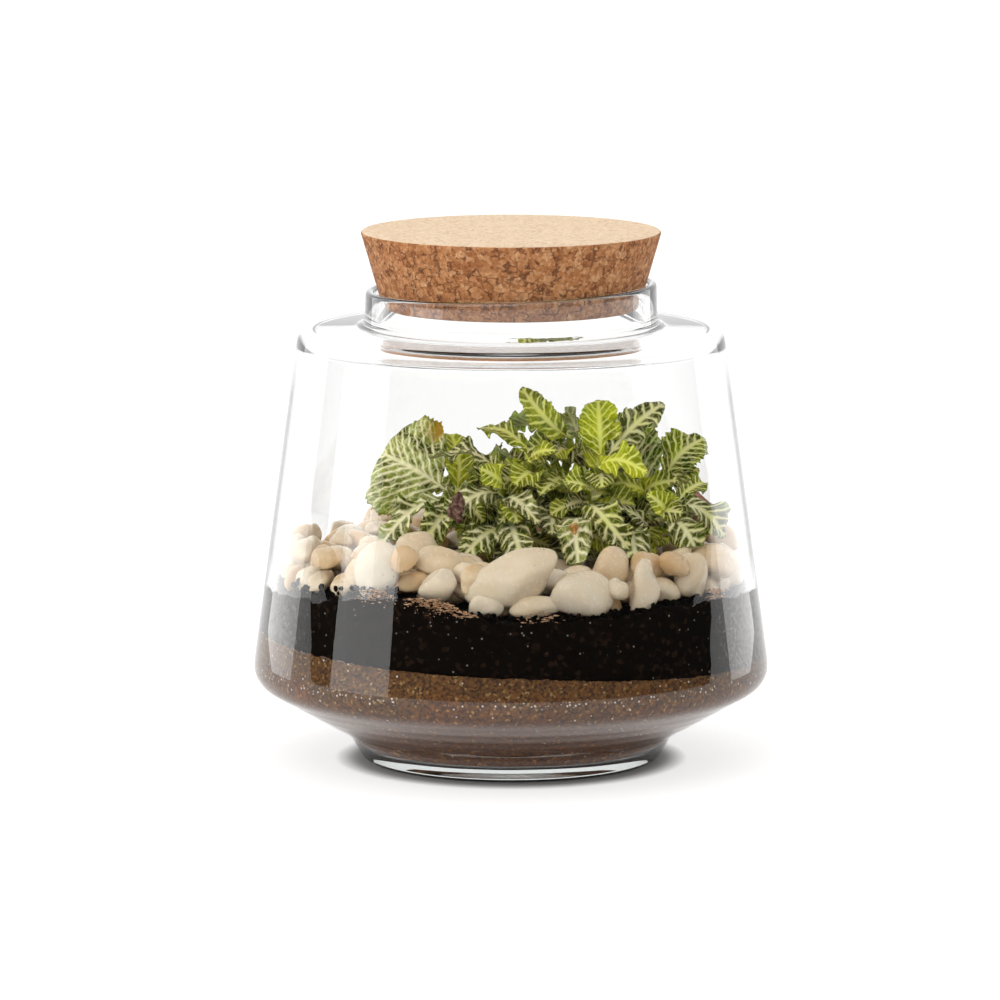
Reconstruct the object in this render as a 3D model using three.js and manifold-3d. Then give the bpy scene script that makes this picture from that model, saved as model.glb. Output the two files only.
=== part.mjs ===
// A closed glass terrarium: a blown glass jar with a tapered cork, filled with layers of sand, potting soil
// and pale tumbled pebbles, and planted with a small nerve plant (Fittonia) of many leafy shoots.
// Millimetres, +Z up. The origin is the middle of the jar's flat underside and -Y is the viewing side.
import * as THREE from "three";
import { mergeVertices } from "three/addons/utils/BufferGeometryUtils.js";
import Module from "manifold-3d";

const wasm = await Module();
wasm.setup();

// ---------- driving dimensions ----------
const jarSides = 32; // facets round the jar and what lies against it
const bigArc = 5.2; // fillets above this radius get more segments
const wallSlope = 0.1362; // how far the body leans in for each millimetre of height
const bodyRadius = 89.4; // outside radius of the body's cone at bodyHeight
const bodyHeight = 38;
const rimHeight = 166.1;
const rimTilt = 0.03; // the hand-cut rim stands higher on the +X side
const neckFoot = 155; // above this the neck follows the tilted rim
const neckRadius = 50.6;
const rimThickness = 3;
const wallThickness = 3.2;
const gap = 0.3; // clearance between pieces that touch

const corkTop = 185.4;
const corkBottom = 158.5;
const corkTopRadius = 52.4;
const corkTaper = 0.29; // radius lost for each millimetre down
const corkEdge = 0.8;

const sandLevel = 42; // height of the sand's top at the middle
const sandLean = -0.05; // it lies higher at the left
const soilLevel = 61.5;
const bedDepth = 16.5; // how thick the pebbles lie on the soil
const plugCentre = [12, 3]; // the nursery plug that the plant grows from
const plugRadius = 25;
const plugDepth = 15;
const plugTaper = 0.3;

const bladeThickness = 0.7;
const petioleWidth = 2;
const petioleShare = 0.13; // of the leaf's length, before the blade opens
const stemRadius = 1.5;
const stemFoot = 56; // height of the stems' lower ends, in the plug

// Outline corners of the jar: [radius, height, fillet radius], from the middle of the underside to the rim.
const wallRadius = (z) => bodyRadius - wallSlope * (z - bodyHeight);
const outerCorners = [
  [0, 0, 0],
  [51.4, 0, 4],
  [57.1, 9.5, 6],
  [wallRadius(28.55), 28.55, 9],
  [wallRadius(151.3), 151.3, 5.5],
  [51, 152.8, 3],
  [neckRadius, rimHeight, 1.4],
];
const innerCorners = [
  [neckRadius - rimThickness, rimHeight, 1.4],
  [neckRadius - rimThickness, 149.6, 3],
  [wallRadius(148.1) - wallThickness, 148.1, 5],
  [wallRadius(30.1) - wallThickness, 30.1, 7],
  [55.1, 12, 5],
  [51.5, 6, 2.5],
  [0, 6, 0],
];

// ---------- small tools ----------
// A repeatable draw between 0 and 1 for item i and property k.
function draw(i, k) {
  const wave = Math.sin(i * 12.9898 + k * 78.233) * 43758.5453;
  return wave - Math.floor(wave);
}
const spread = (i, k, low, high) => low + (high - low) * draw(i, k);
const blend = (edge0, edge1, x) => THREE.MathUtils.smoothstep(x, edge0, edge1);

// A run of corners with their fillets drawn as arcs.
function roundedOutline(corners, fine = 1) {
  const points = [];
  corners.forEach(([r, z, fillet], i) => {
    const here = new THREE.Vector2(r, z);
    const steps = fine + (fillet > bigArc ? 1 : 0);
    if (!fillet || i === 0 || i === corners.length - 1) {
      points.push(here);
      return;
    }
    const before = new THREE.Vector2(...corners[i - 1].slice(0, 2)).sub(here).normalize();
    const after = new THREE.Vector2(...corners[i + 1].slice(0, 2)).sub(here).normalize();
    const half = Math.acos(before.dot(after)) / 2;
    const centre = before.clone().add(after).setLength(fillet / Math.sin(half)).add(here);
    const from = before.clone().multiplyScalar(fillet / Math.tan(half)).add(here).sub(centre);
    const to = after.clone().multiplyScalar(fillet / Math.tan(half)).add(here).sub(centre);
    const turn = Math.atan2(from.cross(to), from.dot(to));
    for (let k = 0; k <= steps; k += 1) {
      points.push(from.clone().rotateAround(new THREE.Vector2(), (turn * k) / steps).add(centre));
    }
  });
  return points;
}

const jarInside = roundedOutline(innerCorners);

// The jar's inside radius at a height above its floor.
function insideRadius(z) {
  for (let i = 1; i < jarInside.length; i += 1) {
    const high = jarInside[i - 1];
    const low = jarInside[i];
    if (z <= high.y && z >= low.y && high.y > low.y) {
      return low.x + ((high.x - low.x) * (z - low.y)) / (high.y - low.y);
    }
  }
  return 0;
}

const revolve = (points, sides) => new THREE.LatheGeometry(points, sides).rotateX(Math.PI / 2);

// Moves each vertex of a geometry by a rule that changes its point in place.
function reshape(geometry, rule) {
  const position = geometry.getAttribute("position");
  const point = new THREE.Vector3();
  for (let i = 0; i < position.count; i += 1) {
    point.fromBufferAttribute(position, i);
    rule(point);
    position.setXYZ(i, point.x, point.y, point.z);
  }
  return geometry;
}

function solidOf(geometry) {
  const bare = new THREE.BufferGeometry()
    .setAttribute("position", geometry.getAttribute("position"))
    .setIndex(geometry.index);
  const merged = mergeVertices(bare, 1e-3);
  return new wasm.Manifold(new wasm.Mesh({
    numProp: 3,
    vertProperties: new Float32Array(merged.getAttribute("position").array),
    triVerts: new Uint32Array(merged.index.array),
  }));
}

// The largest single body of a solid, as a geometry.
const slack = 0.06; // how far a cut surface may be straightened
function geometryOf(solid) {
  const [body] = solid.simplify(slack).decompose().sort((a, b) => b.volume() - a.volume());
  const mesh = body.getMesh();
  return new THREE.BufferGeometry()
    .setAttribute("position", new THREE.BufferAttribute(new Float32Array(mesh.vertProperties), 3))
    .setIndex(new THREE.BufferAttribute(new Uint32Array(mesh.triVerts), 1));
}

// ---------- materials ----------
const finish = (color, roughness, more = {}) =>
  new THREE.MeshStandardMaterial({ color, roughness, metalness: 0, ...more });
const glass = finish("#f4f8f6", 0.03, { transparent: true, opacity: 0.25 });
const cork = finish("#c08a56", 0.85);
const sand = finish("#8a6a49", 0.95);
const soil = finish("#1d130d", 1);
const rootedSoil = finish("#33241a", 1);
const pebble = finish("#ece0cd", 0.35);
const redRock = finish("#a8705c", 0.8);
const leafGreen = finish("#7c9a3c", 0.45);

const terrarium = new THREE.Group();
function add(name, geometry, material) {
  const mesh = new THREE.Mesh(geometry, material);
  mesh.name = name;
  terrarium.add(mesh);
}

// ---------- the jar ----------
function jar() {
  const outside = roundedOutline([...outerCorners, innerCorners[0]], 2).slice(0, -1);
  const inside = roundedOutline([outerCorners.at(-1), ...innerCorners]).slice(1);
  return reshape(revolve([...outside, ...inside], jarSides), (p) => {
    p.z += rimTilt * p.x * blend(neckFoot, rimHeight, p.z);
  });
}
add("glass_jar", jar(), glass);

// ---------- the cork ----------
function corkStopper() {
  const radiusAt = (z) => corkTopRadius - corkTaper * (corkTop - z);
  const outline = roundedOutline([
    [0, corkBottom, 0],
    [radiusAt(corkBottom), corkBottom, corkEdge],
    [corkTopRadius, corkTop, corkEdge],
    [0, corkTop, 0],
  ]);
  return revolve(outline, jarSides);
}
add("cork_stopper", corkStopper(), cork);

// ---------- sand and soil ----------
const sandTop = (x, y) => sandLevel + sandLean * x + 0.35 * Math.sin(0.06 * x + 1) + 0.3 * Math.sin(0.05 * y);
function soilTop(x, y) {
  const hump = 5.5 * Math.exp(-((x + 40) ** 2 + (y + 68) ** 2) / 520); // where it was heaped at the front left
  const rise = 2.6 * Math.exp(-((x - 58) ** 2 + (y + 48) ** 2) / 300);
  return soilLevel + hump + rise + 0.8 * Math.sin(0.07 * x + 0.05 * y + 2) + 0.6 * Math.sin(0.11 * y - 0.6);
}
// The stones lie thinner round the plant than along the glass.
const bedDip = (x, y) => 7 * (1 - blend(26, 50, Math.hypot(0.8 * (x - 15), y + 10)));
const bedTop = (x, y) => soilTop(x, y) + bedDepth - bedDip(x, y);

const marker = 1000; // lathe heights over this are offsets above a layer's surface
// A filling layer: its rings at heights marked for a surface are laid on it, inside the glass.
function layer(outline, surfaces) {
  return reshape(revolve(outline, jarSides), (p) => {
    const kind = Math.round(p.z / marker);
    if (kind > 0) {
      p.z = surfaces[kind - 1](p.x, p.y);
      const wall = insideRadius(p.z) - gap;
      const r = Math.hypot(p.x, p.y);
      if (r > wall - 6) {
        p.x *= wall / r;
        p.y *= wall / r;
      }
    }
  });
}

const sandRings = [86, 46];
function sandLayer() {
  const inset = [[0, 6 + gap, 0], [51.4 - gap, 6 + gap, 2.3], [54.9, 12.2 + gap, 5], [87, 30.3 + gap, 6.8]];
  const foot = roundedOutline([...inset, [insideRadius(37) - gap, 37, 0]]);
  const top = sandRings.map((r) => new THREE.Vector2(r, marker));
  return layer([...foot, ...top, new THREE.Vector2(0, marker)], [sandTop]);
}
add("sand_layer", sandLayer(), sand);

// A tapered plug from one height to another, wider by grow than the nursery plug.
function plug(low, high, grow) {
  const radiusAt = (z) => plugRadius - plugTaper * (soilLevel - z) + grow;
  return revolve([
    new THREE.Vector2(0, low),
    new THREE.Vector2(radiusAt(low), low),
    new THREE.Vector2(radiusAt(high), high),
    new THREE.Vector2(0, high),
  ], 14).translate(...plugCentre, 0);
}
const plugLow = soilLevel - plugDepth;
const plugHigh = soilLevel + 1.5;

const soilRings = [86, 73.5, 46];
function soilLayer() {
  const under = [...sandRings, 0].reverse().map((r) => new THREE.Vector2(r, marker));
  const top = [...soilRings, 0].map((r) => new THREE.Vector2(r, 2 * marker));
  const outline = [...under, ...top];
  const bed = layer(outline, [(x, y) => sandTop(x, y) + gap, soilTop]);
  return geometryOf(solidOf(bed).subtract(solidOf(plug(plugLow - gap, plugHigh + 10, 2 * gap))));
}
add("soil_layer", soilLayer(), soil);

// ---------- pebbles ----------
// A tumbled stone: an uneven ellipsoid. size is its half length, half width and half thickness. turn is the
// way it faces, how far it is raised from lying flat, and how its length is turned within its own plane.
function stone(index, centre, size, turn, facets, grow = 0) {
  const [yaw, tilt, spin] = turn;
  const pose = new THREE.Matrix4().makeRotationZ(yaw)
    .multiply(new THREE.Matrix4().makeRotationX(tilt))
    .multiply(new THREE.Matrix4().makeRotationZ(spin));
  const phase = [5, 6, 7].map((k) => 2 * Math.PI * draw(index, k));
  const ball = new THREE.SphereGeometry(1, ...facets).rotateX(Math.PI / 2);
  return reshape(ball, (p) => {
    const swell = 1 + 0.11 * Math.sin(2.1 * p.x + 1.7 * p.y + phase[0])
      + 0.08 * Math.sin(2.7 * p.y - 2.3 * p.z + phase[1]) + 0.06 * Math.sin(3.1 * p.z + 2.4 * p.x + phase[2]);
    p.set(p.x * (size[0] * swell + grow), p.y * (size[1] * swell + grow), p.z * (size[2] * swell + grow));
    p.applyMatrix4(pose).add(new THREE.Vector3(...centre));
  });
}

const wallClearance = 0.55; // covers the sag of the glass's flat facets too
const soilClearance = 0.9; // likewise for the soil's facets
// Keeps a stone between the soil and the glass.
function settle(geometry) {
  return reshape(geometry, (p) => {
    p.z = Math.max(p.z, soilTop(p.x, p.y) + soilClearance);
    const wall = insideRadius(p.z) - wallClearance;
    const r = Math.hypot(p.x, p.y);
    if (r > wall) {
      p.x *= wall / r;
      p.y *= wall / r;
    }
  });
}

// The bed is laid in rings: [ring radius, stones in it, height over the soil]. The first two lean on the glass.
const bedRings = [[76.2, 21, 5], [75.2, 21, 13], [60.5, 15, 12.8], [45.5, 11, 12.6], [30, 6, 12.4], [13, 2, 12.4]];
const wallRings = 2;
function bedStones() {
  const stones = [];
  bedRings.forEach(([ring, count, lift], k) => {
    for (let i = 0; i < count; i += 1) {
      const id = 100 * k + i;
      const angle = ((i + 0.5 * (k % 2) + spread(id, 1, -0.07, 0.07)) / count) * 2 * Math.PI;
      const r = ring + (k < wallRings ? 0 : spread(id, 2, -1, 1));
      const [x, y] = [r * Math.cos(angle), r * Math.sin(angle)];
      const lies = angle + Math.PI / 2;
      stones.push({
        id,
        centre: [x, y, soilTop(x, y) + lift - bedDip(x, y) + spread(id, 4, -0.5, 0.9)],
        size: [spread(id, 8, 8.6, 10.2), spread(id, 9, 5.8, 7.2), spread(id, 10, 4.4, 5.2)],
        turn: k < wallRings
          ? [lies, spread(id, 11, 0.2, 1.4), spread(id, 12, -0.25, 0.25)]
          : [lies, spread(id, 14, -0.2, 0.2), spread(id, 15, -0.6, 0.6)],
        facets: k < wallRings ? [6, 4] : [5, 4],
      });
    }
  });
  return stones;
}

// The larger stones, each its own piece: [name, centre, half sizes, facing, raised, spin]
const loosePebbles = [
  ["pebble_front_large", [2, -71, 75.5], [15, 9.6, 7.2], 0.02, 1.35, 0.45],
  ["pebble_front_round", [23, -69.5, 68.8], [11, 8.8, 6], 0.3, 1.35, -0.6],
  ["pebble_front_upright", [44.5, -60.5, 69.5], [9.4, 5.8, 4.6], 0.62, 1.4, 1.25],
  ["pebble_front_wedge", [34, -55, 74.5], [7.8, 6.6, 4.8], 0.5, 1.1, 1],
  ["pebble_front_flat", [8, -73.5, 65], [8.6, 3.8, 3.8], 0.05, 0.3, 0.1],
  ["pebble_front_small", [-9, -75.5, 65.8], [5.8, 4.6, 3.8], -0.1, 1.3, 0.3],
  ["pebble_right_tall", [61, -43, 70.5], [9.4, 5.8, 4.6], 0.95, 1.4, 1.2],
  ["pebble_right_edge", [74, -17, 70], [8, 6, 4.4], 1.35, 1.4, 1.2],
  ["pebble_left_block", [-45, -59, 75], [9.4, 8.2, 5.6], -0.62, 1.4, 1.3],
  ["pebble_left_dome", [-32, -48, 81.5], [8.6, 7.2, 5.4], 0.2, 0.3, 0.2],
  ["pebble_left_flat", [-25, -59.5, 78], [8.8, 5.8, 4.4], -0.3, 0.8, 0.1],
  ["pebble_left_speckled", [-24, -69, 72.5], [7, 5.4, 4.4], -0.3, 1.2, 0.4],
  ["pebble_back_left", [-44, 46, 78.5], [9, 7, 4.8], 0.7, 0.2, 0.1],
  ["pebble_back_middle", [4, 62, 79], [10, 7.4, 5], 0.2, 0.25, -0.1],
  ["pebble_back_right", [44, 44, 79], [9.4, 7, 5], -0.6, 0.3, 0.15],
];

const bedHeart = 10; // height of the packed stones that can't be seen
const stoneFacets = [8, 6];
const nestGap = 0.55;
const loose = loosePebbles.map(([name, centre, size, ...turn], i) => {
  const shape = (grow) => solidOf(settle(stone(900 + i, centre, size, turn, stoneFacets, grow)));
  return { name, body: shape(0), nest: shape(nestGap) };
});

const rockCentre = [64, 26, 83];
const rockSize = [9.5, 6.5, 8];
// A rough reddish stone with flat broken faces.
function brokenRock(grow) {
  const lump = new THREE.IcosahedronGeometry(1, 1);
  return reshape(lump, (p) => {
    const chip = 1 + 0.16 * Math.sin(5.1 * p.x + 2.2 * p.z) + 0.12 * Math.sin(6.3 * p.y - 3 * p.z);
    p.set(p.x * rockSize[0], p.y * rockSize[1], p.z * rockSize[2]).multiplyScalar(chip);
    p.setLength(p.length() + grow).add(new THREE.Vector3(...rockCentre));
  });
}
const rock = { name: "red_rock", body: solidOf(settle(brokenRock(0))), nest: solidOf(settle(brokenRock(nestGap))) };

// ---------- the plant ----------
// Each shoot: its stem's foot, bend and tip, and its leaves. A leaf is
// [place along the stem, [tip x, y, z], width, arch, [where its face looks x, y, z], teeth on a side].
const shoots = {
  shoot_left: {
    stem: [[-2, 4], [-8, 3, 80], [-22, 2, 94]],
    leaves: [
      [1, [-45, 5, 107], 45, 0.06, [-0.1, -0.95, 0.1], 5],
      [0.82, [-45, -13, 77], 15, 0.2, [-0.2, -0.6, 0.8], 4],
      [0.62, [-30, -25, 78], 15, 0.22, [-0.1, -0.7, 0.7], 4],
      [0.9, [-21, 14, 113], 15, 0.1, [0.1, -0.95, 0], 3],
      [0.46, [-17, -19, 76], 14, 0.2, [0, -0.7, 0.7], 3],
      [0.72, [-32, 25, 92], 15, 0.2, [-0.3, 0.4, 0.9], 3],
    ],
  },
  shoot_left_front: {
    stem: [[0, -3], [0, -8, 82], [-4, -13, 101]],
    leaves: [
      [1, [-28, -10, 107], 15, 0.25, [0.1, -0.5, 0.85], 4],
      [0.78, [-23, -27, 87], 14, 0.26, [0, -0.7, 0.75], 4],
      [0.92, [-10, -26, 106], 12, 0.12, [0.2, -0.8, 0.4], 3],
      [0.7, [9, -30, 88], 13, 0.3, [0, -0.8, 0.6], 3],
      [0.45, [-17, -36, 76], 15, 0.2, [0, -0.7, 0.7], 3],
      [0.56, [4, -37, 75], 15, 0.2, [0.1, -0.7, 0.7], 3],
    ],
  },
  shoot_middle_left: {
    stem: [[6, 1], [8, -2, 88], [7, -3, 107]],
    leaves: [
      [1, [-11, 4, 116], 12, 0.3, [0, -0.5, 0.85], 4],
      [0.85, [-6, -15, 101], 17, 0.1, [0.1, -0.95, 0.3], 4],
      [0.94, [15, -14, 111], 12, 0.2, [0.1, -0.8, 0.5], 3],
      [0.76, [-8, 16, 102], 14, 0.2, [-0.2, 0.4, 0.9], 3],
      [0.6, [-3, -25, 88], 15, 0.16, [0, -0.8, 0.6], 3],
    ],
  },
  shoot_middle: {
    stem: [[12, 6], [17, 5, 92], [21, 4, 113]],
    leaves: [
      [1, [4, -2, 131], 14, 0.26, [-0.35, -0.85, 0.4], 4],
      [0.84, [6, -6, 110], 16, 0.14, [-0.2, -0.85, 0.5], 4],
      [0.64, [10, -20, 96], 17, 0.16, [-0.1, -0.85, 0.5], 4],
      [0.46, [14, -26, 82], 15, 0.2, [0, -0.8, 0.6], 3],
      [0.9, [20, 22, 121], 14, 0.2, [0.1, 0.8, 0.5], 3],
    ],
  },
  shoot_middle_right: {
    stem: [[20, -3], [26, -12, 86], [31, -12, 106]],
    leaves: [
      [1, [30, -11, 128], 18, 0.1, [0, -0.97, 0.2], 4],
      [0.92, [53, -2, 126], 15, 0.22, [0.1, -0.8, 0.55], 4],
      [0.84, [46, -27, 105], 15, 0.26, [0.1, -0.7, 0.7], 4],
      [0.74, [19, -28, 102], 16, 0.14, [-0.1, -0.8, 0.5], 3],
      [0.6, [40, -39, 80], 16, 0.26, [0.1, -0.75, 0.6], 4],
      [0.46, [23, -45, 74], 17, 0.26, [-0.1, -0.7, 0.7], 4],
    ],
  },
  shoot_right: {
    stem: [[25, 7], [42, 7, 80], [54, 3, 97]],
    leaves: [
      [1, [67, 0, 113], 19, 0.12, [-0.2, -0.9, 0.35], 4],
      [0.88, [43, 15, 117], 24, 0.06, [0.1, -0.95, 0.1], 4],
      [0.76, [58, -14, 100], 14, 0.2, [0.1, -0.85, 0.5], 3],
      [0.52, [52, -15, 87], 15, 0.2, [0, -0.8, 0.6], 3],
      [0.66, [62, 25, 94], 16, 0.2, [0.2, 0.5, 0.9], 4],
    ],
  },
  shoot_right_low: {
    stem: [[25, -6], [42, -12, 76], [56, -13, 90]],
    leaves: [
      [1, [67, -5, 98], 11, 0.2, [0, -0.7, 0.7], 3],
      [0.93, [73, -19, 81], 15, 0.36, [0.5, -0.7, 0.5], 4],
      [0.76, [63, -36, 78], 16, 0.22, [0, -0.7, 0.7], 4],
      [0.56, [43, -43, 75], 15, 0.24, [-0.1, -0.7, 0.6], 4],
      [0.86, [48, -28, 97], 13, 0.16, [0, -0.85, 0.5], 3],
    ],
  },
  shoot_back_left: {
    stem: [[1, 12], [-6, 18, 84], [-14, 26, 98]],
    leaves: [
      [1, [-33, 33, 101], 16, 0.2, [-0.2, 0.1, 0.95], 3],
      [0.9, [-8, 48, 99], 15, 0.2, [0.1, 0.3, 0.9], 3],
      [0.78, [-16, 10, 104], 13, 0.15, [0, -0.7, 0.6], 3],
      [0.62, [-23, 41, 84], 15, 0.26, [-0.2, 0.5, 0.8], 3],
    ],
  },
  shoot_back: {
    stem: [[14, 15], [16, 24, 88], [15, 32, 106]],
    leaves: [
      [1, [-2, 42, 112], 15, 0.2, [-0.2, 0.2, 0.9], 4],
      [0.9, [32, 45, 110], 16, 0.2, [0.2, 0.3, 0.9], 4],
      [0.78, [12, 56, 97], 15, 0.26, [0, 0.5, 0.8], 3],
      [0.95, [17, 18, 120], 12, 0.15, [0, 0.6, 0.5], 3],
    ],
  },
  shoot_back_right: {
    stem: [[25, 13], [34, 22, 82], [42, 30, 97]],
    leaves: [
      [1, [61, 33, 103], 16, 0.2, [0.3, 0.2, 0.9], 4],
      [0.88, [36, 54, 96], 15, 0.22, [0, 0.4, 0.9], 3],
      [0.8, [27, 14, 107], 17, 0.12, [-0.1, -0.8, 0.5], 3],
      [0.56, [54, 44, 84], 15, 0.26, [0.3, 0.4, 0.8], 3],
    ],
  },
};

const stemCurve = ([foot, bend, tip]) => new THREE.QuadraticBezierCurve3(
  new THREE.Vector3(...foot, stemFoot),
  new THREE.Vector3(...bend),
  new THREE.Vector3(...tip),
);

// A point of a leaf's middle surface, with the surface's upward direction there.
// along runs from 0 at the stem to 1 at the tip, and across from -1 to 1.
function leafFrame(leaf, base) {
  const [, tip, width, arch, face, teeth] = leaf;
  const end = new THREE.Vector3(...tip);
  const chord = end.clone().sub(base);
  const length = chord.length();
  chord.normalize();
  const look = new THREE.Vector3(...face);
  const lift = look.clone().addScaledVector(chord, -look.dot(chord)).normalize();
  const side = chord.clone().cross(lift);
  return { base, chord, lift, side, length, width, arch, teeth };
}

const bladeRise = 0.78; // exponents of the blade's outline, towards the stem and the tip
const bladeFall = 0.52;
const bladePeak = (bladeRise / (bladeRise + bladeFall)) ** bladeRise
  * (bladeFall / (bladeRise + bladeFall)) ** bladeFall;

function leafPoint(f, id, along, across, grow) {
  const midrib = (t) => f.base.clone()
    .addScaledVector(f.chord, f.length * t)
    .addScaledVector(f.lift, f.length * f.arch * Math.sin(Math.PI * t ** 0.85));
  const tangent = midrib(along + 0.02).sub(midrib(along - 0.02 < 0 ? 0 : along - 0.02)).normalize();
  const up = f.side.clone().cross(tangent);
  const u = Math.max(0, (along - petioleShare) / (1 - petioleShare));
  const blade = (u ** bladeRise * Math.max(0, 1 - u) ** bladeFall) / bladePeak;
  const toothed = 1 - 0.26 * (0.5 + 0.5 * Math.cos(2 * Math.PI * f.teeth * u)) * Math.abs(across) ** 3;
  const half = grow + Math.max(petioleWidth / 2 * (1 - 0.45 * along), (f.width / 2) * blade * toothed);
  const wave = Math.sin(Math.PI * f.teeth * u + 2.6 * Math.sign(across) + 6.3 * draw(id, 1));
  const ruffle = 0.17 * f.width * blade * Math.abs(across) ** 1.8 * wave;
  const fold = half * (0.3 * Math.abs(across) - 0.12 * across * across);
  const point = midrib(along).addScaledVector(f.side, across * half * 0.97).addScaledVector(up, ruffle + fold);
  return { point, up };
}

const crestClearance = 2.4; // leaves that droop lie this far over the pebbles
const glassClearance = 2.2;
function clearOfJar(p) {
  p.z = Math.max(p.z, bedTop(p.x, p.y) + crestClearance);
  const wall = insideRadius(Math.min(p.z, 140)) - glassClearance;
  const r = Math.hypot(p.x, p.y);
  if (r > wall) {
    p.x *= wall / r;
    p.y *= wall / r;
  }
}

// One blade as a closed thin body: two faces split alike, and a rim between them.
function blade(leaf, base, id, grow) {
  const f = leafFrame(leaf, base);
  const stations = [0, petioleShare];
  for (let k = 1; k <= 2 * f.teeth; k += 1) {
    stations.push(petioleShare + ((1 - petioleShare) * k) / (2 * f.teeth));
  }
  const columns = [-1, 0, 1];
  const positions = [];
  for (const sign of [1, -1]) {
    for (const along of stations) {
      for (const across of columns) {
        const { point, up } = leafPoint(f, id, along, across, grow);
        clearOfJar(point);
        positions.push(...point.addScaledVector(up, sign * (bladeThickness / 2 + grow)));
      }
    }
  }
  const wide = columns.length;
  const tall = stations.length;
  const at = (face, row, column) => (face * tall + row) * wide + column;
  const index = [];
  for (let row = 0; row < tall - 1; row += 1) {
    for (let column = 0; column < wide - 1; column += 1) {
      for (const face of [0, 1]) {
        const [a, b, c, d] = [[0, 0], [1, 0], [1, 1], [0, 1]].map(([r, k]) => at(face, row + r, column + k));
        index.push(...(face ? [a, b, c, a, c, d] : [a, c, b, a, d, c]));
      }
    }
  }
  const border = [];
  for (let k = 0; k < wide - 1; k += 1) border.push([0, k]);
  for (let k = 0; k < tall - 1; k += 1) border.push([k, wide - 1]);
  for (let k = wide - 1; k > 0; k -= 1) border.push([tall - 1, k]);
  for (let k = tall - 1; k > 0; k -= 1) border.push([k, 0]);
  border.forEach(([row, column], k) => {
    const [nextRow, nextColumn] = border[(k + 1) % border.length];
    const [a, b] = [at(0, row, column), at(0, nextRow, nextColumn)];
    const [c, d] = [at(1, nextRow, nextColumn), at(1, row, column)];
    index.push(a, c, b, a, d, c);
  });
  const geometry = new THREE.BufferGeometry()
    .setAttribute("position", new THREE.Float32BufferAttribute(positions, 3))
    .setIndex(index);
  return solidOf(geometry);
}

const stemSides = 5;
const stemSteps = 5;
function stemSolid(curve, radius) {
  const section = new THREE.Shape(
    Array.from({ length: stemSides }, (_, k) => new THREE.Vector2(radius, 0)
      .rotateAround(new THREE.Vector2(), (2 * Math.PI * k) / stemSides)),
  );
  return solidOf(new THREE.ExtrudeGeometry(section, { extrudePath: curve, steps: stemSteps }));
}

const shootGap = 0.4;
const grown = Object.entries(shoots).map(([name, { stem, leaves }], s) => {
  const curve = stemCurve(stem);
  const parts = (grow) => [
    stemSolid(curve, stemRadius + grow),
    ...leaves.map((leaf, k) => blade(leaf, curve.getPoint(leaf[0]), 20 * s + k, grow)),
  ];
  return {
    name,
    curve,
    body: wasm.Manifold.union(parts(0)),
    keepOut: wasm.Manifold.union(parts(shootGap)),
    hole: stemSolid(curve, stemRadius + shootGap),
  };
});

// Shoots stand clear of those before them in the list.
grown.forEach((shoot, i) => {
  let body = shoot.body;
  grown.slice(0, i).forEach((other) => {
    body = body.subtract(other.keepOut);
  });
  shoot.clear = body;
  add(shoot.name, geometryOf(body), leafGreen);
});

const holes = wasm.Manifold.union(grown.map((shoot) => shoot.hole));
const plugRoom = solidOf(plug(plugLow, plugHigh + gap, 2 * gap));
add("root_plug", geometryOf(solidOf(plug(plugLow, plugHigh, 0)).subtract(holes)), rootedSoil);

loose.forEach((stonePiece, i) => {
  let body = stonePiece.body;
  loose.slice(0, i).forEach((other) => {
    body = body.subtract(other.nest);
  });
  add(stonePiece.name, geometryOf(body), pebble);
});
add(rock.name, geometryOf(rock.body), redRock);

// Ordinary stones that would stand in a larger stone's or a stem's place are left out.
const closest = 0.66;
const roomy = ({ centre, size }) => {
  const here = new THREE.Vector3(...centre);
  const stems = grown.map(({ curve }) => curve.getPoint(0.45).setZ(here.z));
  return stems.every((point) => point.distanceTo(here) > 9)
    && [...loosePebbles, ["rock", rockCentre, rockSize]].every(([, spot, [long]]) => (
      here.distanceTo(new THREE.Vector3(...spot)) > closest * (long + size[0])));
};

// The stones are fused with the unseen ones packed under them.
function pebbleBed() {
  const stones = bedStones().filter(roomy).map(({ id, centre, size, turn, facets }) => (
    solidOf(settle(stone(id, centre, size, turn, facets)))));
  const heart = reshape(revolve([
    ...[...soilRings.slice(1), 0].reverse().map((r) => new THREE.Vector2(r, 0)),
    ...[soilRings[1], 50, 0].map((r) => new THREE.Vector2(r, bedHeart)),
  ], jarSides), (p) => {
    p.z += p.z < 1 ? soilTop(p.x, p.y) + soilClearance : soilLevel - bedDip(p.x, p.y);
  });
  const nests = [...loose, rock].map((piece) => piece.nest);
  return wasm.Manifold.union([...stones, solidOf(heart)]).subtract(wasm.Manifold.union([...nests, holes, plugRoom]));
}
add("pebble_bed", geometryOf(pebbleBed()), pebble);

export default terrarium;
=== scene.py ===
import math

import bpy
from mathutils import Matrix, Vector, noise


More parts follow.
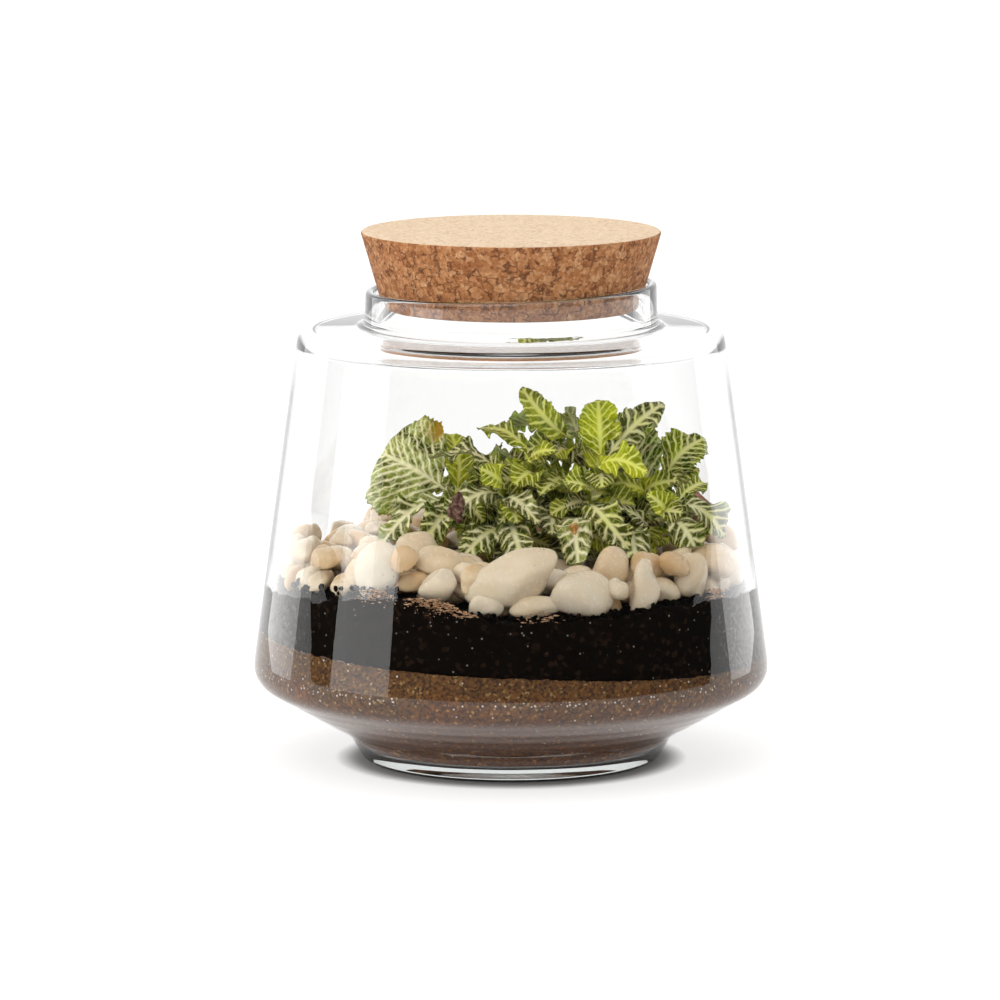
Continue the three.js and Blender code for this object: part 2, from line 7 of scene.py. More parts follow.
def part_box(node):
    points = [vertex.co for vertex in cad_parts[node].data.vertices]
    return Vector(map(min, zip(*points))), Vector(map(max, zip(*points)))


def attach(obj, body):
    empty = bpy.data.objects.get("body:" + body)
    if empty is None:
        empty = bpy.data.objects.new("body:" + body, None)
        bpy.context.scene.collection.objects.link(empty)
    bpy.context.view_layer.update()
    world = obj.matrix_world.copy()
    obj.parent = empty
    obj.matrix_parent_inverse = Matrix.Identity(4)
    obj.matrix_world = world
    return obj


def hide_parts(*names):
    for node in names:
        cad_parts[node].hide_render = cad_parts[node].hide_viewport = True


# A closed glass terrarium: a blown jar with a pressed cork, filled with sand, potting soil, tumbled pebbles
# and a nerve plant. Sizes are in millimetres until a mesh is made, which turns them to metres.
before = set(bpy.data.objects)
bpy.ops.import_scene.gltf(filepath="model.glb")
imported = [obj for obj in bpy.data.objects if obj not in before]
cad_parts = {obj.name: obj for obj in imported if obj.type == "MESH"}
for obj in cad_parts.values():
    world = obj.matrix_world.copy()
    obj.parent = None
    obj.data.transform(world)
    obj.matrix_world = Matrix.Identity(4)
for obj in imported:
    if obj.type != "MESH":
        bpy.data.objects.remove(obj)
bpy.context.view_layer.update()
mm = 0.001


# Small tools

def draw(item, kind):  # a repeatable number from 0 to 1
    wave = math.sin(item * 12.9898 + kind * 78.233) * 43758.5453
    return wave - math.floor(wave)


def spread(item, kind, low, high):
    return low + (high - low) * draw(item, kind)


def blend(start, end, x):  # rises smoothly from 0 at start to 1 at end
    t = min(max((x - start) / (end - start), 0), 1)
    return t * t * (3 - 2 * t)


def grain(x, y, z, size, seed=0):  # smooth noise from -1 to 1 with features of that size
    return noise.noise(Vector((x / size + 17.3 * seed, y / size, z / size)))


def around(r, angle):
    return r * math.cos(angle), r * math.sin(angle)


def linearColour(hexCode):
    channels = [int(hexCode[i:i + 2], 16) / 255 for i in (1, 3, 5)]
    return [c / 12.92 if c <= 0.04045 else ((c + 0.055) / 1.055) ** 2.4 for c in channels] + [1]


# Adds a node. Inputs go by name, or as a list in the node's own order, such as value, from low, from high,
# to low, to high. Each is a value, a hex colour, a socket, or a node that stands for its first output. The
# stops of a colour ramp are (place, hex colour).
def addNode(tree, kind, inputs=(), stops=(), **settings):
    node = tree.nodes.new("ShaderNode" + kind)
    for name, value in settings.items():
        setattr(node, name, value)
    for key, value in inputs.items() if isinstance(inputs, dict) else enumerate(inputs):
        if isinstance(value, bpy.types.Node):
            value = value.outputs[0]
        if isinstance(value, bpy.types.NodeSocket):
            tree.links.new(value, node.inputs[key])
        else:
            node.inputs[key].default_value = linearColour(value) if isinstance(value, str) else value
    for k, (place, colour) in enumerate(stops):
        ramp = node.color_ramp.elements
        element = ramp[k] if k < len(ramp) else ramp.new(place)
        element.position = place
        element.color = linearColour(colour)
    return node


def newMaterial(name):
    material = bpy.data.materials.new(name)
    material.use_nodes = True
    tree = material.node_tree
    tree.nodes.clear()
    return material, tree, addNode(tree, "TexCoord").outputs["Object"]


# Ends a material. relief is the strength of its small bumps, their depth in millimetres and their height.
def finishMaterial(tree, surface, relief=None):
    if relief:
        strength, depth, height = relief
        bump = {"Strength": strength, "Distance": depth * mm, "Height": height}
        surface["Normal"] = addNode(tree, "Bump", bump)
    addNode(tree, "OutputMaterial", [addNode(tree, "BsdfPrincipled", surface)])


def randomCells(tree, place, size):  # cells of about that size, and three random numbers for each
    cells = addNode(tree, "TexVoronoi", {"Vector": place, "Scale": 1 / (size * mm)})
    return cells, addNode(tree, "SeparateColor", [cells.outputs["Color"]]).outputs


# Spots of one colour on a base colour. That share of the cells has one, picked by one of a cell's numbers.
# rim is where a spot starts and ends fading, as a share of the cell.
def spotted(tree, place, base, colour, size, number, share, rim, strength):
    cells, numbers = randomCells(tree, place, size)
    chosen = addNode(tree, "Math", [numbers[number], share], operation="LESS_THAN")
    spot = addNode(tree, "MapRange", [cells, *rim, strength, 0])
    shown = addNode(tree, "Math", [chosen, spot], operation="MULTIPLY")
    return addNode(tree, "MixRGB", [shown, base, colour])


def makePiece(name, points, faces, materials, slot=None, replaced=(), smooth=True):
    mesh = bpy.data.meshes.new(name)
    mesh.from_pydata([[c * mm for c in p] for p in points], [], faces)
    for material in materials:
        mesh.materials.append(material)
    mesh.polygons.foreach_set("use_smooth", [smooth] * len(mesh.polygons))
    mesh.update()
    piece = bpy.data.objects.new(name, mesh)
    bpy.context.scene.collection.objects.link(piece)
    if slot:
        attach(piece, "root")
    if replaced:
        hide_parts(*replaced)
    return piece


def addNumbers(mesh, name, numbers):  # one for each point, for the material to read
    mesh.attributes.new(name, "FLOAT", "POINT").data.foreach_set("value", numbers)


def nameOf(node):  # glass_jar becomes glassJar
    first, *rest = node.split("_")
    return first + "".join(word.capitalize() for word in rest)


# Turns an outline of (radius, height) round the axis. rule may move each point.
def turned(outline, sides, rule=lambda x, y, z: (x, y, z)):
    points, faces, rings = [], [], []
    for r, z in outline:
        start = len(points)
        count = 1 if r < 1e-6 else sides
        points += [rule(*around(r, 2 * math.pi * i / sides), z) for i in range(count)]
        rings.append((start, count))
    for (a, countA), (b, countB) in zip(rings, rings[1:]):
        for i in range(sides):
            j = (i + 1) % sides
            if countA == 1:
                faces.append((a, b + j, b + i))
            elif countB == 1:
                faces.append((a + i, a + j, b))
            else:
                faces.append((a + i, a + j, b + j, b + i))
    return points, faces


def ballOutline(rows):
    angles = [math.pi * k / rows for k in range(1, rows)]
    return [(0, -1)] + [(math.sin(angle), -math.cos(angle)) for angle in angles] + [(0, 1)]


def joinOn(points, faces, morePoints, moreFaces):
    start = len(points)
    points += morePoints
    faces += [tuple(start + v for v in face) for face in moreFaces]


# A run of corners [radius, height, fillet radius] with the fillets drawn as arcs.
def roundedOutline(corners, step):
    outline = []
    for i, (r, z, fillet) in enumerate(corners):
        here = Vector((r, z))
        if not fillet or i in (0, len(corners) - 1):
            outline.append(here)
            continue
        before = (Vector(corners[i - 1][:2]) - here).normalized()
        after = (Vector(corners[i + 1][:2]) - here).normalized()
        half = before.angle(after) / 2
        centre = here + (before + after).normalized() * fillet / math.sin(half)
        start = here + before * fillet / math.tan(half) - centre
        end = here + after * fillet / math.tan(half) - centre
        turn = math.atan2(start.x * end.y - start.y * end.x, start.dot(end))
        steps = max(2, round(fillet * abs(turn) / step))
        for k in range(steps + 1):
            outline.append(Matrix.Rotation(turn * k / steps, 2) @ start + centre)
    return [(p.x, p.y) for p in outline]


def refined(outline, step):  # the same outline with no stretch longer than step
    fine = [outline[0]]
    for (r0, z0), (r1, z1) in zip(outline, outline[1:]):
        parts = max(1, math.ceil(math.hypot(r1 - r0, z1 - z0) / step))
        fine += [(r0 + (r1 - r0) * k / parts, z0 + (z1 - z0) * k / parts) for k in range(1, parts + 1)]
    return fine


# Camera, floor and lights

camera = {
    "aim": (-3.84, 0, 90.8),
    "distance": 2400,
    "elevation": 8.5,  # degrees above the horizon
    "lens": 247.6,
}
studio = {
    "floorSize": 40000,
    "floorDrop": 0.15,  # the jar's foot touches it on a few points only
    "floorGlow": 0.69,  # the table glows as if lit from below, and a painted shadow dims the glow where the jar stands close over it
    "paintedShadowReach": 9,
    "paintedShadowTilt": (0, 0.64, 0.77),  # tilts the painted shadow so that it falls in front of the jar, as under light from behind
    "wallGlow": 1.2,  # the lit white wall behind the jar
    "wallEdge": (0.49, 0.55),  # where the wall starts, as the direction's Y
    "roomGlow": 0.01,  # the dark room behind the camera
    "ceilingGlow": 1.05,
    "ceilingEdge": (0.16, 0.3),  # as the direction's Z
    "lights": {
        "frontSoftbox": {"place": (-450, -1250, 1450), "size": (1300, 1100), "glow": 1.6},
        "leftFill": {"place": (-1500, -150, 560), "size": (900, 900), "glow": 1.9},  # not mirrored
        "leftSoftbox": {"place": (-1409, -513, 105), "size": (830, 200), "glow": 2.4},
    },
    "cards": {  # lit panels at both sides, seen only as reflections in the glass
        "leftCard": {"place": (-450, 290, 150), "size": (290, 300), "glow": 1.6},
        "rightCard": {"place": (450, 290, 150), "size": (290, 300), "glow": 1.6},
    },
}


def makeCamera():
    tilt = math.radians(camera["elevation"])
    back = Vector((0, -math.cos(tilt), math.sin(tilt)))
    data = bpy.data.cameras.new("camera")
    data.lens = camera["lens"]
    data.sensor_width = 36
    data.clip_end = 100
    viewer = bpy.data.objects.new("camera", data)
    bpy.context.scene.collection.objects.link(viewer)
    viewer.location = (Vector(camera["aim"]) + back * camera["distance"]) * mm
    viewer.rotation_euler = (-back).to_track_quat("-Z", "Y").to_euler()
    bpy.context.scene.camera = viewer


def makeFloor():
    # Matt white laminate, rolled: an even pale ground that glows and takes soft shadows, with a painted
    # shadow dimming its glow close around the jar's foot
    material, tree, place = newMaterial("whiteLaminateRolled")
    fleck = addNode(tree, "TexNoise", {"Vector": place, "Scale": 1 / (400 * mm), "Detail": 2})
    tone = addNode(tree, "ValToRGB", [fleck], [(0.3, "#a9a9a8"), (0.7, "#acacab")])
    # Painted shadow: the floor's glow fades where the jar stands close over it
    paintedShadowOpenness = addNode(tree, "AmbientOcclusion", {"Distance": studio["paintedShadowReach"] * mm,
                                                  "Normal": studio["paintedShadowTilt"]}, samples=8)
    glow = addNode(tree, "MapRange", [paintedShadowOpenness.outputs["AO"], 0.4, 1, 0, studio["floorGlow"]])
    finishMaterial(tree, {"Base Color": tone, "Roughness": 0.8, "Specular IOR Level": 0.1,
                          "Emission Color": "#ffffff", "Emission Strength": glow})
    half = studio["floorSize"] / 2
    low = -studio["floorDrop"]
    corners = [(-half, -half, low), (half, -half, low), (half, half, low), (-half, half, low)]
    floor = makePiece("floor", corners, [(0, 1, 2, 3)], [material])


def makeLight(name, place, size, glow):
    data = bpy.data.lights.new(name, "AREA")
    data.shape = "RECTANGLE"
    data.size, data.size_y = size[0] * mm, size[1] * mm
    data.energy = glow * math.pi * data.size * data.size_y  # glow is the brightness of its face
    light = bpy.data.objects.new(name, data)
    bpy.context.scene.collection.objects.link(light)
    light.location = Vector(place) * mm
    light.visible_camera = False
    level = Vector((0, 0, min(place[2], 300)))
    light.rotation_euler = (level - Vector(place)).to_track_quat("-Z", "Y").to_euler()
    return light


def makeStudio():
    world = bpy.data.worlds.new("whiteStudio")
    bpy.context.scene.world = world
    world.use_nodes = True
    tree = world.node_tree
    tree.nodes.clear()
    way = addNode(tree, "SeparateXYZ", [addNode(tree, "TexCoord").outputs["Generated"]]).outputs
    wall = addNode(tree, "MapRange", [way["Y"], *studio["wallEdge"], studio["roomGlow"], studio["wallGlow"]])
    above = addNode(tree, "MapRange", [way["Z"], *studio["ceilingEdge"], 0, studio["ceilingGlow"]])
    glow = addNode(tree, "Math", [wall, above], operation="MAXIMUM")
    addNode(tree, "OutputWorld", [addNode(tree, "Background", {"Color": "#ffffff", "Strength": glow})])
    for name, light in studio["lights"].items():
        makeLight(name, **light).visible_glossy = name != "leftFill"
    for name, light in studio["cards"].items():
        card = makeLight(name, **light)
        card.visible_diffuse = card.visible_transmission = False
    bpy.context.scene.view_settings.view_transform = "Standard"


makeCamera()
makeFloor()
makeStudio()
print("camera, floor and lights made")


# The jar

jar = {
    "sides": 192,
    "wallSlope": 0.1362,  # how far the body leans in for each millimetre of height
    "bodyRadius": 89.4,  # outside radius at bodyHeight
    "bodyHeight": 38,
    "wall": 3.2,
    "neckRadius": 50.6,
    "neckWall": 3,
    "rimHeight": 166.1,
    "rimTilt": 0.03,  # the hand-cut rim stands higher on the +X side
    "neckFoot": 155,
    "foot": 6,  # thickness of the glass under the sand
    "ripple": 0.1,  # height of the rings that the mould left under the widest ring
    "rippleLength": 3.4,
    "density": 8,  # of the glass's own grey-green, for each metre
    "edge": (0.77, 0.84),  # how slanted the body's outer wall is seen where its painted edge shade starts and ends
    "edgeFoot": (62, 74),  # the heights where that painted edge shade sets in
    "edgeTop": (130, 146),  # and where it ends
}


def wallRadius(z):
    return jar["bodyRadius"] - jar["wallSlope"] * (z - jar["bodyHeight"])


neckBore = jar["neckRadius"] - jar["neckWall"]
outerCorners = [
    (0, 0, 0),
    (51.4, 0, 4),
    (57.1, 9.5, 6),
    (wallRadius(28.55), 28.55, 9),
    (wallRadius(151.3), 151.3, 5.5),
    (51, 152.8, 3),
    (jar["neckRadius"], jar["rimHeight"], 1.4),
    (neckBore, jar["rimHeight"], 0),
]
innerCorners = [
    (jar["neckRadius"], jar["rimHeight"], 0),
    (neckBore, jar["rimHeight"], 1.4),
    (neckBore, 149.6, 3),
    (wallRadius(148.1) - jar["wall"], 148.1, 5),
    (wallRadius(30.1) - jar["wall"], 30.1, 7),
    (55.1, 12, 5),
    (51.5, jar["foot"], 2.5),
    (0, jar["foot"], 0),
]
jarInside = roundedOutline(innerCorners, 0.4)[1:]


def insideRadius(z):
    for (highR, highZ), (lowR, lowZ) in zip(jarInside, jarInside[1:]):
        if lowZ <= z <= highZ and highZ > lowZ:
            return lowR + (highR - lowR) * (z - lowZ) / (highZ - lowZ)
    return 0


def sodaLimeGlassBlown():
    # Clear soda-lime glass blown into a mould: a mirror-smooth skin with a slow waviness and hardly any tint,
    # with painted shade greying the outer wall where it is seen edge-on
    material, tree, place = newMaterial("sodaLimeGlassBlown")
    wave = addNode(tree, "TexNoise", {"Vector": place, "Scale": 1 / (26 * mm), "Detail": 1})
    skin = addNode(tree, "Bump", {"Strength": 0.12, "Distance": 0.5 * mm, "Height": wave})
    slant = addNode(tree, "LayerWeight", {"Blend": 0.5, "Normal": skin})
    # Painted shade: the outer wall between the pebbles and the shoulder turns grey where it is seen edge-on,
    # drawing dark outlines at its sides
    flat = addNode(tree, "VectorMath", [place, (1, 1, 0)], operation="MULTIPLY")
    radius = addNode(tree, "VectorMath", [flat], operation="LENGTH").outputs["Value"]
    height = addNode(tree, "SeparateXYZ", [place]).outputs["Z"]
    upright = addNode(tree, "Math", [height, jar["wallSlope"], radius], operation="MULTIPLY_ADD")
    outer = addNode(tree, "Math", [upright, (wallRadius(0) - jar["wall"] / 2) * mm], operation="GREATER_THAN")
    foot, top = [[z * mm for z in jar[key]] for key in ("edgeFoot", "edgeTop")]
    factors = [
        addNode(tree, "MapRange", [slant.outputs["Facing"], *jar["edge"], 0, 1]),
        addNode(tree, "MapRange", [height, *foot, 0, 1]),
        addNode(tree, "MapRange", [height, *top, 1, 0]),
    ]
    paintedEdgeShadeMask = outer
    for factor in factors:
        paintedEdgeShadeMask = addNode(tree, "Math", [paintedEdgeShadeMask, factor], operation="MULTIPLY")
    # Painted shade: grey glass colour along the edge-on outer wall
    paintedEdgeShade = addNode(tree, "MixRGB", [paintedEdgeShadeMask, "#ffffff", "#5c615f"])
    glass = addNode(tree, "BsdfPrincipled", {
        "Base Color": paintedEdgeShade, "Roughness": 0, "IOR": 1.52, "Transmission Weight": 1, "Normal": skin})
    clear = addNode(tree, "BsdfTransparent", {"Color": "#fafcfb"})
    shadow = addNode(tree, "LightPath").outputs["Is Shadow Ray"]
    body = addNode(tree, "VolumeAbsorption", {"Color": "#bcc3c0", "Density": jar["density"]})
    addNode(tree, "OutputMaterial", [addNode(tree, "MixShader", [shadow, glass, clear]), body])
    return material


def makeJar():
    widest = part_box("glass_jar")[1].x / mm
    outside = refined(roundedOutline(outerCorners, 0.5)[:-1], 1.6)
    inside = roundedOutline(innerCorners, 0.5)[1:]

    def rippled(r, z):
        under = blend(8, 13, z) * (1 - blend(24, 29, z))
        return min(r + jar["ripple"] * under * math.sin(2 * math.pi * z / jar["rippleLength"]), widest)

    def tilted(x, y, z):
        return x, y, z + jar["rimTilt"] * x * blend(jar["neckFoot"], jar["rimHeight"], z)

    outline = [(rippled(r, z), z) for r, z in outside] + inside
    points, faces = turned(outline, jar["sides"], tilted)
    makePiece("glassJar", points, faces, [sodaLimeGlassBlown()], "glass", ["glass_jar"])


makeJar()
print("jar made")


# The cork

cork = {
    "top": 185.4,
    "bottom": 158.5,
    "topRadius": 52.4,
    "taper": 0.29,  # radius lost for each millimetre down
    "edge": 0.8,
    "granule": 2.7,
    "chip": 1,
    "torn": 0.12,  # how uneven the ground side is
    "flatTo": 30,  # inside this radius the ends stay flat
}


def corkAgglomeratePressed():
    # Agglomerated cork, pressed with binder and ground: warm granules with dark gaps at the side, and a finer
    # top whose paler colour is partly painted light falling from above
    material, tree, place = newMaterial("corkAgglomeratePressed")
    bend = addNode(tree, "TexNoise", {
        "Vector": place, "Scale": 1 / (1.1 * mm), "Detail": 4, "Roughness": 0.6})
    bent = addNode(tree, "MixRGB", [0.0017, place, bend.outputs["Color"]], blend_type="ADD")
    granules = addNode(tree, "ValToRGB", [randomCells(tree, bent, cork["granule"])[1][0]], [
        (0, "#965e38"), (0.3, "#a56c42"), (0.62, "#b47a4e"), (0.86, "#c28d61"), (1, "#d09f73")])
    chips = addNode(tree, "ValToRGB", [randomCells(tree, bent, cork["chip"])[1][1]], [
        (0, "#582f1b"), (0.18, "#8d5733"), (0.7, "#b77e52"), (1, "#d4a77a")])
    side = addNode(tree, "MixRGB", [0.5, granules, chips])
    edges = addNode(tree, "TexVoronoi", {"Vector": bent, "Scale": 1 / (cork["granule"] * mm)},
                    feature="DISTANCE_TO_EDGE")
    patches = addNode(tree, "TexNoise", {"Vector": place, "Scale": 1 / (3.4 * mm), "Detail": 2})
    width = addNode(tree, "MapRange", [patches, 0.46, 0.7, 0, 0.2])
    gaps = addNode(tree, "MapRange", [edges, 0, width, 0.9, 0])
    gapped = addNode(tree, "MixRGB", [gaps, side, "#5a3220"])
    finer = addNode(tree, "TexNoise", {"Vector": place, "Scale": 1 / (1.3 * mm), "Detail": 4})
    finerLitTop = addNode(tree, "ValToRGB", [finer], [
        (0.28, "#c09e7b"), (0.42, "#ddc1a1"), (0.6, "#e6ceb1"), (0.75, "#eedac2")])
    fleck = addNode(tree, "TexNoise", {
        "Vector": place, "Scale": 1 / (2.6 * mm), "Detail": 5, "Roughness": 0.7})
    flecks = addNode(tree, "MapRange", [fleck, 0.6, 0.7, 0, 0.6])
    flecked = addNode(tree, "MixRGB", [flecks, finerLitTop, "#a8743e"])
    facing = addNode(tree, "SeparateXYZ", [addNode(tree, "NewGeometry").outputs["Normal"]]).outputs
    # Faces that look up take the finer top colour, its paleness partly painted light from above
    topFinerAndLit = addNode(tree, "MapRange", [facing["Z"], 0.6, 0.85, 0, 1])
    colour = addNode(tree, "MixRGB", [topFinerAndLit, gapped, flecked])
    depth = addNode(tree, "Math", [finer, gaps], operation="SUBTRACT")
    finishMaterial(tree, {"Base Color": colour, "Roughness": 0.85, "IOR": 1.45, "Specular IOR Level": 0.25},
                   (0.6, 0.35, depth))
    return material


def makeCork():
    bottomRadius = cork["topRadius"] - cork["taper"] * (cork["top"] - cork["bottom"])
    corners = [(0, cork["bottom"], 0), (bottomRadius, cork["bottom"], cork["edge"]),
               (cork["topRadius"], cork["top"], cork["edge"]), (0, cork["top"], 0)]

    def torn(x, y, z):  # only inward, so that the cork keeps its size
        r = math.hypot(x, y)
        if r < cork["flatTo"]:
            return x, y, z
        dent = cork["torn"] * (0.5 + 0.5 * grain(x, y, z, 1.8)) + 0.1 * max(0, grain(x, y, z, 4, 1))
        return x * (1 - dent / r), y * (1 - dent / r), z

    points, faces = turned(refined(roundedOutline(corners, 0.3), 1.2), 256, torn)
    makePiece("corkStopper", points, faces, [corkAgglomeratePressed()], "cork", ["cork_stopper"])


makeCork()
print("cork made")


# Sand and soil

filling = {
    "sides": 400,
    "sandLevel": 42,
    "sandLean": -0.05,
    "soilLevel": 61.5,
    "heaps": [(5.5, -40, -68, 520), (2.6, 58, -48, 300)],  # of soil: height, x, y, spread squared
    "bedDepth": 16.5,  # how thick the pebbles lie on the soil
    "plugCentre": (12, 3),
    "plugRoom": 27.6,
    "plugLow": 46.3,
    "press": 0.12,  # how far sand and soil are pressed into the glass, so that no air shows between
    "bridge": 0.25,  # the air under the sand, which rests on the glass floor by single grains
    "wallStart": 37,  # where the sand's outline leaves the flared part of the jar for the wall
    "rimReach": (84, 83),  # the radii at which the height of a layer's lower and upper rim is read
    "ragged": 0.55,  # how uneven the line between sand and soil is
    "crumbs": 760,
    "crumbLine": 66,  # the height at which loose bits meet the glass
    "clinging": 3,  # how much higher they cling to it at the front left
}


def sandTop(x, y):
    wave = 0.35 * math.sin(0.06 * x + 1) + 0.3 * math.sin(0.05 * y)
    return filling["sandLevel"] + filling["sandLean"] * x + wave


def soilTop(x, y):
    heaped = sum(high * math.exp(-((x - x0) ** 2 + (y - y0) ** 2) / wide)
                 for high, x0, y0, wide in filling["heaps"])
    wave = 0.8 * math.sin(0.07 * x + 0.05 * y + 2) + 0.6 * math.sin(0.11 * y - 0.6)
    return filling["soilLevel"] + heaped + wave


def bedDip(x, y):  # the stones lie thinner round the plant
    return 7 * (1 - blend(26, 50, math.hypot(0.8 * (x - 15), y + 10)))


def bedTop(x, y):
    return soilTop(x, y) + filling["bedDepth"] - bedDip(x, y)


def raggedSand(x, y):
    return sandTop(x, y) + filling["ragged"] * (grain(x, y, 0, 1.6, 2) + 0.7 * grain(x, y, 0, 4.5, 3))


def soilUnder(x, y):
    return raggedSand(x, y) + 0.05


def raggedSoil(x, y):
    return soilTop(x, y) + grain(x, y, 0, 2.2, 4) + 1.1 * grain(x, y, 0, 6, 5)


def pittedSoil(x, y):  # with room for the nursery plug
    px, py = filling["plugCentre"]
    inPit = math.hypot(x - px, y - py) < filling["plugRoom"]
    return filling["plugLow"] if inPit else raggedSoil(x, y)


# A filling between two surfaces, lying against the glass. foot is the outline under the wall, if any.
def layer(low, high, foot):
    sides, rings, rows = filling["sides"], 44, 12
    lowReach, highReach = filling["rimReach"]
    columns = []
    for i in range(sides):
        angle = 2 * math.pi * i / sides

        def onWall(z):
            return (*around(insideRadius(z) + filling["press"], angle), z)

        def spoke(surface, end):  # from near the axis to near the wall
            flat = [around(math.hypot(*end[:2]) * k / rings, angle) for k in range(1, rings)]
            return [(x, y, surface(x, y)) for x, y in flat]

        if foot:
            wallLow = foot[-1][1]
            column = [(*around(r, angle), z) for r, z in foot[1:]]
        else:
            wallLow = low(*around(lowReach, angle))
            column = spoke(low, onWall(wallLow)) + [onWall(wallLow)]
        wallHigh = high(*around(highReach, angle))
        column += [onWall(wallLow + (wallHigh - wallLow) * k / rows) for k in range(1, rows + 1)]
        columns.append(column + spoke(high, column[-1])[::-1])
    tall = len(columns[0])
    points = [(0, 0, foot[0][1] if foot else low(0, 0))]
    points += [p for column in columns for p in column] + [(0, 0, high(0, 0))]
    faces = []
    for i in range(sides):
        a, b = 1 + i * tall, 1 + ((i + 1) % sides) * tall
        faces.append((0, b, a))
        faces += [(a + k, b + k, b + k + 1, a + k + 1) for k in range(tall - 1)]
        faces.append((a + tall - 1, b + tall - 1, len(points) - 1))
    return points, faces


def quartzSandWashed():
    # Washed quartz sand: grains from dark brown to straw, damp and darker low down. Drawn at 0.8 mm, coarser
    # than its 0.4 mm, so that the grains show
    material, tree, place = newMaterial("quartzSandWashed")
    grains, tone = randomCells(tree, place, 0.8)
    dry = addNode(tree, "ValToRGB", [tone[0]], [
        (0, "#372009"), (0.3, "#543617"), (0.6, "#684722"),
        (0.82, "#774a1c"), (0.93, "#815a2c"), (1, "#a28657")])
    damp = addNode(tree, "ValToRGB", [tone[0]], [
        (0, "#432105"), (0.4, "#5f350c"), (0.75, "#6f3f11"), (0.95, "#814c16"), (1, "#b88132")])
    height = addNode(tree, "SeparateXYZ", [place]).outputs["Z"]
    cloud = addNode(tree, "TexNoise", {"Vector": place, "Scale": 1 / (14 * mm), "Detail": 2})
    level = addNode(tree, "MapRange", [cloud, 0.3, 0.7, -5 * mm, 5 * mm])
    raised = addNode(tree, "Math", [height, level], operation="ADD")
    dryness = addNode(tree, "MapRange", [raised, 26 * mm, 37 * mm, 0, 1])
    colour = addNode(tree, "MixRGB", [dryness, damp, dry])
    # Painted glints: pale spots, mostly along the widest ring, standing in for light glinting in the small
    # hollows the sand leaves at the glass
    offRing = addNode(tree, "Math", [height, 33.5 * mm], operation="SUBTRACT")
    farRing = addNode(tree, "Math", [offRing], operation="ABSOLUTE")
    ring = addNode(tree, "MapRange", [farRing, 0.3 * mm, 1.6 * mm, 0.75, 0.03])
    patch = addNode(tree, "TexNoise", {"Vector": place, "Scale": 1 / (38 * mm), "Detail": 1})
    patchy = addNode(tree, "MapRange", [patch, 0.44, 0.6, 0.25, 1])
    paintedGlintShare = addNode(tree, "Math", [ring, patchy], operation="MULTIPLY")
    paintedGlints = spotted(tree, place, colour, "#f2e9df", 1.1, 2, paintedGlintShare, (0.2, 0.4), 0.9)
    finishMaterial(tree, {"Base Color": paintedGlints, "Roughness": 0.6, "IOR": 1.46, "Specular IOR Level": 0.4},
                   (0.5, 0.3, grains))
    return material


def pottingSoilSieved(name, dark, light, speckShare):
    # Sieved potting soil: nearly black crumbs with a few pale mineral specks
    material, tree, place = newMaterial(name)
    crumbs, tone = randomCells(tree, place, 1.5)
    base = addNode(tree, "ValToRGB", [tone[0]], [(0, dark), (0.8, dark), (1, light)])
    specked = spotted(tree, place, base, "#b9b2a6", 2.4, 1, speckShare, (0.06, 0.17), 0.55)
    # Painted reflection: pale grey grains, more of them towards the sides, standing in for the haze of light
    # the glass shows there
    east = addNode(tree, "Math", [addNode(tree, "SeparateXYZ", [place])], operation="ABSOLUTE")
    sideHazeReach = addNode(tree, "MapRange", [east, 60 * mm, 78 * mm, -0.28, 0.1])
    fine = addNode(tree, "TexNoise", {
        "Vector": place, "Scale": 1 / (1.5 * mm), "Detail": 4, "Roughness": 0.7})
    sideHazeGrains = addNode(tree, "Math", [fine, sideHazeReach], operation="ADD")
    paintedSideHaze = addNode(tree, "MapRange", [sideHazeGrains, 0.5, 0.68, 0, 0.4])
    # Painted haze of side light mixed into the soil colour
    colour = addNode(tree, "MixRGB", [paintedSideHaze, specked, "#a89f96"])
    lumps = addNode(tree, "TexNoise", {"Vector": place, "Scale": 1 / (2 * mm), "Detail": 4})
    finishMaterial(tree, {"Base Color": colour, "Roughness": 0.95, "IOR": 1.4, "Specular IOR Level": 0.15},
                   (0.8, 0.6, lumps))
    return material


# Adds an uneven lump of a few faces to a mesh in the making.
def addLump(points, faces, centre, size, turn, item):
    pose = Matrix.Rotation(turn, 3, "Z") @ Matrix.Rotation(spread(item, 31, -1.2, 1.2), 3, "X")
    ball, ballFaces = turned(ballOutline(4), 6)
    lump = []
    for k, (x, y, z) in enumerate(ball):
        uneven = 1 if abs(z) == 1 else spread(item, 45 + k, 0.7, 1.15)
        lump.append(tuple(Vector(centre) + pose @ Vector((x * size[0], y * size[1], z * size[2])) * uneven))
    joinOn(points, faces, lump, ballFaces)


def makeFilling():
    sand = quartzSandWashed()
    soil = pottingSoilSieved("pottingSoilSieved", "#0a0502", "#281a10", 0.34)
    press, bridge, start = filling["press"], filling["bridge"], filling["wallStart"]
    foot = []
    for r, z in reversed(jarInside):
        if z < start:
            out = press - (press + bridge) * (1 - blend(6.2, 8.5, z))
            foot.append((r + out if r else 0, z - out))
    foot = refined(foot + [(insideRadius(start) + press, start)], 3)
    makePiece("sandLayer", *layer(None, raggedSand, foot), [sand], "sand", ["sand_layer"])
    makePiece("soilLayer", *layer(soilUnder, pittedSoil, None), [soil], "soil", ["soil_layer"])
    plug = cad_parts["root_plug"]
    plug.data.materials.clear()
    plug.data.materials.append(pottingSoilSieved("pottingSoilRooted", "#1a100a", "#4a3322", 0.2))
    makeCrumbs(soil)
    makeCoir()


